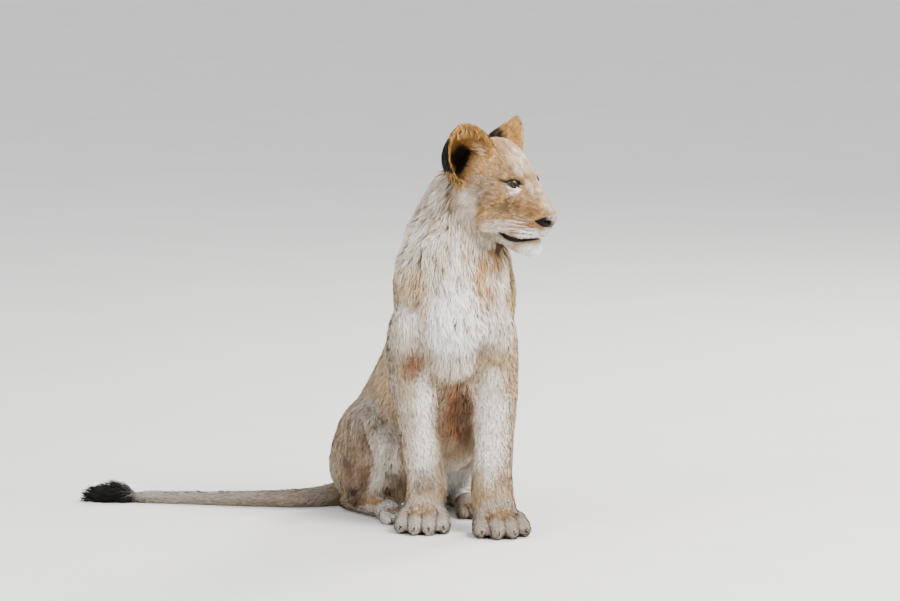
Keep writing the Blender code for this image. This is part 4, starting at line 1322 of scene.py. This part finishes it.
class SkinData:
    """What the coat needs to know of the skin, as arrays."""

    def __init__(self):
        skin = bpy.data.objects["lion_skin"]
        data = skin.data
        self.points = points_of(data)
        self.normals = normals_of(data)
        self.ears = values_of(data, "ear")
        self.part = values_of(data, "part")
        self.bare = values_of(data, "bare")
        self.triangles = fetched(data.loops, "vertex_index", 1, np.int32).reshape(-1, 3)
        self.maps = fetched(data.uv_layers["OFBake"].uv, "vector", 2).reshape(-1, 3, 2).astype(float)

    def scatter(self, number, spacing, seed):
        """Roots spread evenly over one part: places, normals, ears, bareness and places on the unwrap."""
        tris = np.nonzero((self.part[self.triangles] == number).sum(1) >= 2)[0]
        corners = self.points[self.triangles[tris]]
        areas = lengths_of(np.cross(corners[:, 1] - corners[:, 0], corners[:, 2] - corners[:, 0])) / 2
        reach = np.cumsum(areas) / spacing ** 2
        draw = np.random.default_rng(seed)
        marks = np.arange(int(reach[-1])) + draw.random(int(reach[-1]))
        chosen = np.minimum(np.searchsorted(reach, marks), len(tris) - 1)
        a, b = draw.random(len(chosen)), draw.random(len(chosen))
        over = a + b > 1
        a[over], b[over] = 1 - a[over], 1 - b[over]
        share = np.stack((1 - a - b, a, b), 1)[:, :, None]
        corner = self.triangles[tris[chosen]]
        return {
            "points": (self.points[corner] * share).sum(1),
            "normals": unit((self.normals[corner] * share).sum(1)),
            "ears": (self.ears[corner] * share[:, :, 0]).sum(1),
            "bare": (self.bare[corner] * share[:, :, 0]).sum(1),
            "maps": (self.maps[tris[chosen]] * share).sum(1),
        }


# Tufts, from root to tip: shares of the length at which they widen, how wide they are there, and how light,
# with the tip's own lightness last. The darker roots are painted shade deep in the coat.
SHORT_TUFT = ((0.0, 0.48), (0.80, 0.90), (0.76, 0.99, 1.08))
LONG_TUFT = ((0.0, 0.30, 0.58, 0.82), (0.60, 1.00, 0.85, 0.50), (0.78, 0.92, 1.00, 1.04, 1.07))
EAR_HAIR = 0.0085
LIP_HAIR = 0.0012          # length of the hair that borders on the black of the lips
TICKED = 0.14              # share of the tufts that have dark tips
LOWEST_TIP = 0.0004        # no hair goes lower than this


def grow_tufts(name, roots, colours, hair, width, long, seed, vary, clumps, fringe=None, tone=None):
    """A piece of coat: one thin tapering tuft from each root, along the lie of the hair. vary and
    clumps say how much the lightness differs between tufts and between locks. fringe gives another
    length and lie, and tone another colour, from places in the head's frame."""
    draw = np.random.default_rng(seed)
    points, normals = roots["points"], roots["normals"]
    count = len(points)
    length = hair_length(points)
    length += roots["ears"] * (EAR_HAIR - length)
    local = into_head(points)
    _, gap, thick = along_mouth(local)
    length = np.minimum(length, LIP_HAIR + 0.6 * np.maximum(gap - thick, 0))
    lie = hair_direction(points, normals, roots["ears"])
    if fringe is not None:
        length, lie = fringe(local, normals @ HEAD_AXES.T)
        lie = lie @ HEAD_AXES
        lie = unit(lie - normals * np.minimum((lie * normals).sum(1), 0)[:, None])
    across = unit(np.cross(normals, lie))
    depth = coat_depth(points, roots["ears"])

    # Neighbours lean together into small locks, and whole locks turn a little.
    clump = np.clip(length * 0.55, 0.004, 0.016)
    size = float(np.median(clump))
    offset, number = nearest_seed(points, size, seed)
    offset -= normals * (offset * normals).sum(1)[:, None]
    turn = (number - 0.5) * 0.55 + (draw.random(count) - 0.5) * 0.50
    turn += (noise(points, (0.035,) * 3, 71) - 0.5) * 0.7
    lie = unit(lie + across * turn[:, None])
    across = np.cross(normals, lie)
    length *= 0.80 + 0.45 * draw.random(count)
    rise = depth * (0.70 + 0.60 * draw.random(count)) * (0.85 + 0.45 * number)
    roll = (draw.random(count) - 0.5) * 1.1
    blade = unit(across * np.cos(roll)[:, None] + normals * np.sin(roll)[:, None])
    face = unit(np.cross(lie, blade))
    pull = offset * (0.55 * np.clip(length / size, 0, 1))[:, None]
    bend = across * ((draw.random(count) - 0.5) * 0.16 * length)[:, None]

    steps, widths, shades = LONG_TUFT if long else SHORT_TUFT
    rows = len(steps)
    per = rows * 2 + 1
    wide = width * (0.7 + 0.6 * draw.random(count))
    verts = np.empty((count, per, 3))
    bends = np.empty((count, per, 3))
    tints = np.empty((count, per, 3))
    maps = np.empty((count, per, 2))
    colour = coat_colours(points, normals, roots["ears"], colours)
    if tone is not None:
        colour = colour + 0.85 * (tone(local) - colour)
    colour *= (1 - vary + 2 * vary * draw.random(count))[:, None]
    colour *= (1 + clumps * (number - 0.5))[:, None]
    ticked = (draw.random(count) < TICKED)[:, None]
    soft_normals = unit(normals * 0.75 + face * np.sign((face * normals).sum(1))[:, None] * 0.45)
    for row, step in enumerate(steps + (1.0,)):
        height = rise * (1 - (1 - step) ** 2) + 0.0002 - (0.0008 if row == 0 else 0)
        spot = points + lie * (length * step)[:, None] + normals * height[:, None]
        spot += pull * step + bend * step * step
        # Lightness by row: the rows near the root are darker as painted shade within the coat.
        tint = colour * shades[row]
        if step > 0.7:
            tint = np.where(ticked, tint * 0.68, tint)
        if row == rows:
            verts[:, -1] = spot
            bends[:, -1] = unit(soft_normals + lie * 0.15)
            tints[:, -1] = tint
            maps[:, -1] = (0.0015, 0.0)
            continue
        half = blade * (wide * widths[row] / 2)[:, None]
        for corner, side in ((row * 2, -1), (row * 2 + 1, 1)):
            verts[:, corner] = spot + half * side
            bends[:, corner] = unit(soft_normals + blade * 0.25 * side)
            tints[:, corner] = tint
            maps[:, corner] = (step * 0.003 - 0.0015, 0.0012 * side)
    maps = np.clip(maps + roots["maps"][:, None, :], 0.0, 1.0)
    verts[:, :, 2] = np.maximum(verts[:, :, 2], LOWEST_TIP)
    data = tuft_mesh(name, verts, bends, tints, maps)
    data.materials.append(bpy.data.materials.get(hair) or hair_material(hair))
    show(name, data)
    print(name, len(data.polygons))
    if len(data.polygons) >= COAT_LIMIT:
        raise RuntimeError(f"{name} has {len(data.polygons)} triangles, too many for a piece of coat")


def tuft_mesh(name, verts, bends, tints, maps):
    """One mesh of tufts. Each array has a row of vertices per tuft: pairs from the root up, then the tip."""
    count, per = verts.shape[:2]
    faces = []
    for low in range(0, per - 3, 2):
        faces += [(low, low + 3, low + 1), (low, low + 2, low + 3)]
    faces.append((per - 3, per - 1, per - 2))
    corners = (np.arange(count)[:, None, None] * per + np.array(faces)[None]).reshape(-1)
    data = mesh_of_triangles(name, verts.reshape(-1, 3), corners)
    layer = data.uv_layers.new(name="OFBake")
    layer.uv.foreach_set("vector", maps.reshape(-1, 2)[corners].astype(np.float32).ravel())
    put_colours(data, np.clip(tints.reshape(-1, 3), 0, 1))
    data.shade_smooth()
    data.normals_split_custom_set_from_vertices(bends.reshape(-1, 3).astype(np.float32))
    return data


def mesh_of_triangles(name, verts, corners):
    data = bpy.data.meshes.new(name)
    data.vertices.add(len(verts))
    data.vertices.foreach_set("co", verts.astype(np.float32).ravel())
    data.loops.add(len(corners))
    data.loops.foreach_set("vertex_index", corners.astype(np.int32))
    data.polygons.add(len(corners) // 3)
    data.polygons.foreach_set("loop_start", np.arange(0, len(corners), 3, dtype=np.int32))
    data.update(calc_edges=True)
    return data


def only(roots, keep):
    return {name: values[keep] for name, values in roots.items()}


def grow_coat(context, part):
    """The coat of one part, but for bare skin, lids, lips and soles."""
    sizes, colours = context.scene.lion_sizes, context.scene.lion_colours
    coarse = 1.0
    kind, long, slot, hair, _ = COATS[part]
    spacing, width = getattr(sizes, kind + "_spacing"), getattr(sizes, kind + "_width")
    number = PARTS.index(part)
    roots = SkinData().scatter(number, spacing * coarse, number + 1)
    points = roots["points"]
    bald = roots["bare"] > 0.45
    for side in (-1, 1):
        outside, _, _, reach = eye_opening(points, side)
        bald |= (outside < 0.0018) & (reach < EYE_RADIUS * 1.6)
    _, gap, thick = along_mouth(into_head(points))
    bald |= gap < thick + 0.0010
    bald |= points[:, 2] < 0.0022
    if part == "ears":
        bald &= roots["bare"] > 0.6
    vary, clumps = (0.22, 0.34) if part in ("head", "ears") else (0.14, 0.12 if long else 0.20)
    grow_tufts("coat_" + part, only(roots, ~bald), colours, hair, width * coarse, long,
               number + 101, vary, clumps)


def fringe_flow(place, facing):
    """Length and direction of the hair that crosses the hollow of an ear, in the head's frame."""
    side = np.sign(place[:, 0])
    flow = sided(side, 0.35, 0.80, 0.30)
    lying = soft_step(0.100, 0.125, place[:, 2])[:, None]
    flow = flow * (1 - lying) + lying * sided(side, -0.3, 0.3, -0.8)
    low = soft_spot(mirrored(place), EAR_LOBE, (0.038, 0.038, 0.038), 0.6)[:, None]
    flow = flow * (1 - low) + low * sided(side, 0.1, -0.35, -0.9)
    return np.full(len(place), 0.017), unit(flow + facing * 0.35)


def grow_ear_fringe(context):
    """Long pale strands that cross the hollow of each ear from its front edge and rim."""
    sizes, colours = context.scene.lion_sizes, context.scene.lion_colours
    coarse = 1.0
    roots = SkinData().scatter(PARTS.index("ears"), sizes.fringe_spacing * coarse, 21)
    hollow = ear_inside(into_head(roots["points"]), roots["normals"] @ HEAD_AXES.T)
    local = mirrored(into_head(roots["points"]))
    front = soft_spot(local, (0.060, 0.066, 0.066), (0.024, 0.030, 0.050), 0.3)
    rim = soft_spot(local, (0.110, 0.092, 0.118), (0.050, 0.050, 0.032), 0.3)
    lobe = soft_spot(local, EAR_LOBE, (0.034, 0.034, 0.034), 0.4)
    chance = np.random.default_rng(22).random(len(local))
    keep = ((hollow > 0.5) & (np.maximum(front, rim * 0.7) > chance)) | (lobe > chance)

    def tinted(place):
        ahead = soft_spot(mirrored(place), (0.060, 0.066, 0.060), (0.030, 0.034, 0.056), 0.4)
        strands = Paint(colours, "golden", len(place))
        strands.lay("pale_tan", ahead * 0.9)
        return strands.result

    grow_tufts("coat_ear_fringe", only(roots, keep), colours, "short_guard_hair",
               sizes.face_width * 0.7 * coarse, True, 121, 0.22, 0.14, fringe_flow, tinted)


class LION_OT_coat_head(bpy.types.Operator):
    """Short fine hair of the face and crown, with the longer ruff, and the hair of the ears"""
    bl_idname = "lion.coat_head"
    bl_label = "Coat of the head"

    def execute(self, context):
        for part in ("head", "ears"):
            grow_coat(context, part)
        grow_ear_fringe(context)
        return {"FINISHED"}


class LION_OT_coat_neck(bpy.types.Operator):
    """Long soft locks of the neck and breast"""
    bl_idname = "lion.coat_neck"
    bl_label = "Coat of neck and breast"

    def execute(self, context):
        for part in ("neck", "breast"):
            grow_coat(context, part)
        return {"FINISHED"}


class LION_OT_coat_body(bpy.types.Operator):
    """Short coat of the back and the legs"""
    bl_idname = "lion.coat_body"
    bl_label = "Coat of back and legs"

    def execute(self, context):
        for part in ("back", "foreleg_right", "foreleg_left", "hindleg_right", "hindleg_left"):
            grow_coat(context, part)
        return {"FINISHED"}


class LION_OT_coat_tail(bpy.types.Operator):
    """Short coat of the tail and the black tassel at its end"""
    bl_idname = "lion.coat_tail"
    bl_label = "Coat of the tail"

    def execute(self, context):
        for part in ("tail", "tassel"):
            grow_coat(context, part)
        return {"FINISHED"}


GAZE_OUT = 3.0             # the eyes are turned this far out from the middle of their openings
CORNEA_BULGE = 0.0016
CORNEA_EDGE = math.radians(36)
BALL_RINGS = 60
BALL_SIDES = 72


def ball_shape(rings, sides):
    """Vertices and faces of a ball that looks along -Y, and for each vertex how far it lies off that
    axis and round it, as numbers from 0."""
    verts, off_axis, around = [(0.0, -1.0, 0.0)], [0.0], [0.0]
    for ring in range(1, rings):
        angle = math.pi * ring / rings
        for k in range(sides):
            turn = 2 * math.pi * k / sides
            flat = math.sin(angle)
            verts.append((flat * math.cos(turn), -math.cos(angle), flat * math.sin(turn)))
            off_axis.append(angle / math.pi * 1.72)
            around.append(abs(k / sides * 2 - 1))
    verts.append((0.0, 1.0, 0.0))
    off_axis.append(1.0)
    around.append(0.0)
    faces = [(0, 1 + k, 1 + (k + 1) % sides) for k in range(sides)]
    for a in range(1, 1 + (rings - 2) * sides, sides):
        for k in range(sides):
            after = (k + 1) % sides
            faces.append((a + k, a + sides + k, a + sides + after, a + after))
    last = 1 + (rings - 2) * sides
    faces += [(len(verts) - 1, last + (k + 1) % sides, last + k) for k in range(sides)]
    return np.array(verts), faces, np.array(off_axis), np.array(around)


class LION_OT_eyes(bpy.types.Operator):
    """Eyeballs with a bulging cornea, hazel iris and round pupil"""
    bl_idname = "lion.eyes"
    bl_label = "Eyes"

    def execute(self, context):
        finish = eye_material(tuple(context.scene.lion_colours.iris))
        for side, node in ((-1, "eye_right"), (1, "eye_left")):
            verts, faces, off_axis, around = ball_shape(BALL_RINGS, BALL_SIDES)
            off = np.arccos(np.clip(-verts[:, 1], -1, 1))
            verts *= (EYE_RADIUS + CORNEA_BULGE * (1 - soft_step(0.0, CORNEA_EDGE, off)))[:, None]
            data = bpy.data.meshes.new(node + "_ball")
            axes = axes_turned(HEAD_YAW + side * (EYE_TURN + GAZE_OUT))
            data.from_pydata([tuple(v) for v in out_of(verts, EYES[side], axes)], [], faces)
            put_values(data, "off_axis", np.clip(off_axis, 0, 1))
            put_values(data, "around", around)
            data.shade_smooth()
            data.materials.append(finish)
            ball = show(node + "_ball", data)
            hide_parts(node)
        return {"FINISHED"}


def tube(path, radii, sides):
    """Vertices and faces of a closed tapering tube that ends in a point."""
    verts, faces = [], []
    path = [Vector(p) for p in path]
    for n, (spot, radius) in enumerate(zip(path[:-1], radii)):
        along = (path[n + 1] - path[max(n - 1, 0)]).normalized()
        across = along.orthogonal().normalized()
        deep = along.cross(across)
        for k in range(sides):
            angle = 2 * math.pi * k / sides
            verts.append(spot + across * math.cos(angle) * radius + deep * math.sin(angle) * radius)
    verts.append(path[-1])
    for n in range(len(path) - 2):
        for k in range(sides):
            a, b = n * sides + k, n * sides + (k + 1) % sides
            faces.append((a, b, b + sides, a + sides))
    last = (len(path) - 2) * sides
    faces += [(last + k, last + (k + 1) % sides, len(verts) - 1) for k in range(sides)]
    faces.append(tuple(range(sides))[::-1])
    return verts, faces


def joined_tubes(name, tubes):
    verts, faces = [], []
    for more, sides in tubes:
        faces += [tuple(k + len(verts) for k in face) for face in sides]
        verts += more
    data = bpy.data.meshes.new(name)
    data.from_pydata([tuple(v) for v in verts], [], faces)
    data.shade_smooth()
    return data


TOE_BACK = 0.020           # this far behind a toe's middle is well inside the paw
CLAW_AHEAD = 0.0235        # from a toe's middle to the root of its claw
CLAW_ROOT = 0.001          # a claw starts at least this far inside the toe
CLAW_RADII = (0.0034, 0.0034, 0.0030, 0.0021, 0.0011)
WHISKER_RADII = (0.00034, 0.00031, 0.00026, 0.00020, 0.00013)


class LION_OT_claws(bpy.types.Operator):
    """Four curved claws on each paw, that show between the hair of the toes"""
    bl_idname = "lion.claws"
    bl_label = "Claws"

    def execute(self, context):
        reach = context.scene.lion_sizes.claw
        finish = claw_material(hex_colour("2A211C"))
        skin = bpy.data.objects["lion_skin"]
        for name, place, yaw, scale, tall in PAWS:
            tubes = []
            origin, axes = np.array(place) + SHIFT, axes_turned(yaw)
            for across, ahead in TOES:
                inside = np.array((across, TOE_BACK - ahead, 0.018 * tall)) * scale
                inside = out_of(inside, origin, axes)
                hit, spot, _, _ = skin.ray_cast(Vector(inside), Vector(-axes[1]))
                if hit:
                    front = (Vector(inside) - spot).length / scale - TOE_BACK
                    ahead += min(0.0, front - CLAW_AHEAD - CLAW_ROOT)
                path = []
                for step in (0.0, 0.25, 0.5, 0.75, 0.92, 1.0):
                    forward = ahead + CLAW_AHEAD + reach * (step - 0.12 * step * step)
                    height = 0.0215 * tall + 0.0015 * step - 0.0095 * step * step
                    path.append((across * (1.0 + 0.10 * step), -forward, height))
                world = out_of(np.array(path) * scale, origin, axes)
                tubes.append(tube(world, [r * scale for r in CLAW_RADII], 12))
            data = joined_tubes(name + "_claws", tubes)
            data.materials.append(finish)
            show(name + "_claws", data)
        return {"FINISHED"}


class LION_OT_whiskers(bpy.types.Operator):
    """Long white bristles in three rows on each side of the upper lip"""
    bl_idname = "lion.whiskers"
    bl_label = "Whiskers"

    def execute(self, context):
        longest = context.scene.lion_sizes.whisker
        skin = bpy.data.objects["lion_skin"]
        finish = whisker_material(tuple(context.scene.lion_colours.white))
        draw = np.random.default_rng(77)
        for side, name in ((-1, "whiskers_right"), (1, "whiskers_left")):
            tubes = []
            for number, (ahead, up) in enumerate(lip_spots()):
                row, column = divmod(number, SPOT_COLUMNS)
                if column == 0 or row >= WHISKER_ROWS:
                    continue
                far = out_of(np.array(((side * 0.15, -ahead, up),)), HEAD_ORIGIN, HEAD_AXES)[0]
                inwards = Vector(-HEAD_AXES[0] * side)
                hit, place, normal, _ = skin.ray_cast(Vector(far), inwards)
                if not hit:
                    raise RuntimeError("a whisker misses the lip")
                length = longest * (0.45 + 0.13 * column) * (0.85 + 0.3 * draw.random())
                out = Vector(HEAD_AXES[0] * side) * 0.55 + Vector(HEAD_AXES[1]) * 0.80
                out = (out + Vector((0, 0, 0.16 - 0.04 * row)) + normal * 0.30).normalized()
                path = []
                for step in (0.0, 0.2, 0.4, 0.6, 0.8, 1.0):
                    sag = Vector((0, 0, -1)) * length * 0.16 * step * step
                    back = Vector(HEAD_AXES[1]) * length * 0.10 * step * step
                    path.append(place - normal * 0.001 + out * length * step + sag + back)
                tubes.append(tube(path, WHISKER_RADII, 5))
            data = joined_tubes(name, tubes)
            data.materials.append(finish)
            show(name, data)
        return {"FINISHED"}


VIEW_TARGET = (-0.0114, 0.15, 0.5196)     # middle of the view, in the plan
VIEW_WIDTH = 2.052                        # across the view at the target
FLOOR_REACH = 40.0
FLOOR_SIDES = 64
# Round lamps that face the target: (name, place from the target, size, power in watts).
LIGHTS = (
    ("key", (2.6, -2.4, 4.2), 2.4, 360.0),
    ("fill", (-3.8, -3.2, 2.2), 3.2, 140.0),
    ("side", (4.2, -1.4, 1.0), 2.2, 88.0),
    ("rim", (2.4, 3.4, 3.0), 1.8, 170.0),
)


def add_to_stage(name, data, place, towards):
    """A lamp or the camera, turned so that it looks in a direction."""
    made = bpy.data.objects.new(name, data)
    made.location = place
    made.rotation_mode = "QUATERNION"
    made.rotation_quaternion = towards.to_track_quat("-Z", "Y")
    bpy.context.scene.collection.objects.link(made)
    return made


class LION_OT_stage(bpy.types.Operator):
    """Plain pale floor, soft studio light and the camera"""
    bl_idname = "lion.stage"
    bl_label = "Stage"

    def execute(self, context):
        scene, stage = context.scene, context.scene.lion_stage
        turns = [2 * math.pi * k / FLOOR_SIDES for k in range(FLOOR_SIDES)]
        edge = [(math.cos(turn) * FLOOR_REACH, math.sin(turn) * FLOOR_REACH, 0.0) for turn in turns]
        data = bpy.data.meshes.new("floor")
        data.from_pydata(edge, [], [tuple(range(len(edge)))])
        data.materials.append(floor_material(tuple(stage.floor)))
        floor = bpy.data.objects.new("floor", data)
        scene.collection.objects.link(floor)

        world = bpy.data.worlds.new("studio")
        scene.world = world
        world.use_nodes = True
        sky = world.node_tree.nodes["Background"]
        sky.inputs["Color"].default_value = (*hex_colour("E6E9EE"), 1)
        sky.inputs["Strength"].default_value = 1.25
        target = Vector(np.array(VIEW_TARGET) + SHIFT)
        for name, place, size, power in LIGHTS:
            lamp = bpy.data.lights.new(name, "AREA")
            lamp.shape = "DISK"
            lamp.size = size
            lamp.energy = power
            add_to_stage(name, lamp, target + Vector(place), -Vector(place))

        camera = bpy.data.cameras.new("camera")
        camera.sensor_width = 36.0
        camera.lens = camera.sensor_width * stage.distance / VIEW_WIDTH
        camera.clip_end = 200.0
        back = Vector((0, -math.cos(stage.elevation), math.sin(stage.elevation)))
        scene.camera = add_to_stage("camera", camera, target + back * stage.distance, -back)
        scene.view_settings.look = "AgX - Medium High Contrast"
        return {"FINISHED"}


class LION_PT_panel(bpy.types.Panel):
    """Pieces of the lion, in the order they are made"""
    bl_label = "Sitting young lion"
    bl_space_type = "VIEW_3D"
    bl_region_type = "UI"
    bl_category = "Lion"

    def draw(self, context):
        for group in (context.scene.lion_sizes, context.scene.lion_colours, context.scene.lion_stage):
            box = self.layout.box()
            for name in type(group).__annotations__:
                box.prop(group, name)
        for operator in OPERATORS:
            self.layout.operator(operator.bl_idname)


GROUPS = (LionColours, LionSizes, LionStage)
OPERATORS = (LION_OT_skin, LION_OT_eyes, LION_OT_coat_head, LION_OT_coat_neck, LION_OT_coat_body,
             LION_OT_coat_tail, LION_OT_claws, LION_OT_whiskers, LION_OT_stage)


def register():
    for made in GROUPS + OPERATORS + (LION_PT_panel,):
        bpy.utils.register_class(made)
    bpy.types.Scene.lion_colours = bpy.props.PointerProperty(type=LionColours)
    bpy.types.Scene.lion_sizes = bpy.props.PointerProperty(type=LionSizes)
    bpy.types.Scene.lion_stage = bpy.props.PointerProperty(type=LionStage)


def unregister():
    del bpy.types.Scene.lion_stage
    del bpy.types.Scene.lion_sizes
    del bpy.types.Scene.lion_colours
    for made in reversed(GROUPS + OPERATORS + (LION_PT_panel,)):
        bpy.utils.unregister_class(made)


def main():
    register()
    for run in (bpy.ops.lion.skin, bpy.ops.lion.eyes, bpy.ops.lion.coat_head, bpy.ops.lion.coat_neck,
                bpy.ops.lion.coat_body, bpy.ops.lion.coat_tail, bpy.ops.lion.claws, bpy.ops.lion.whiskers,
                bpy.ops.lion.stage):
        run()


if __name__ == "__main__":
    main()
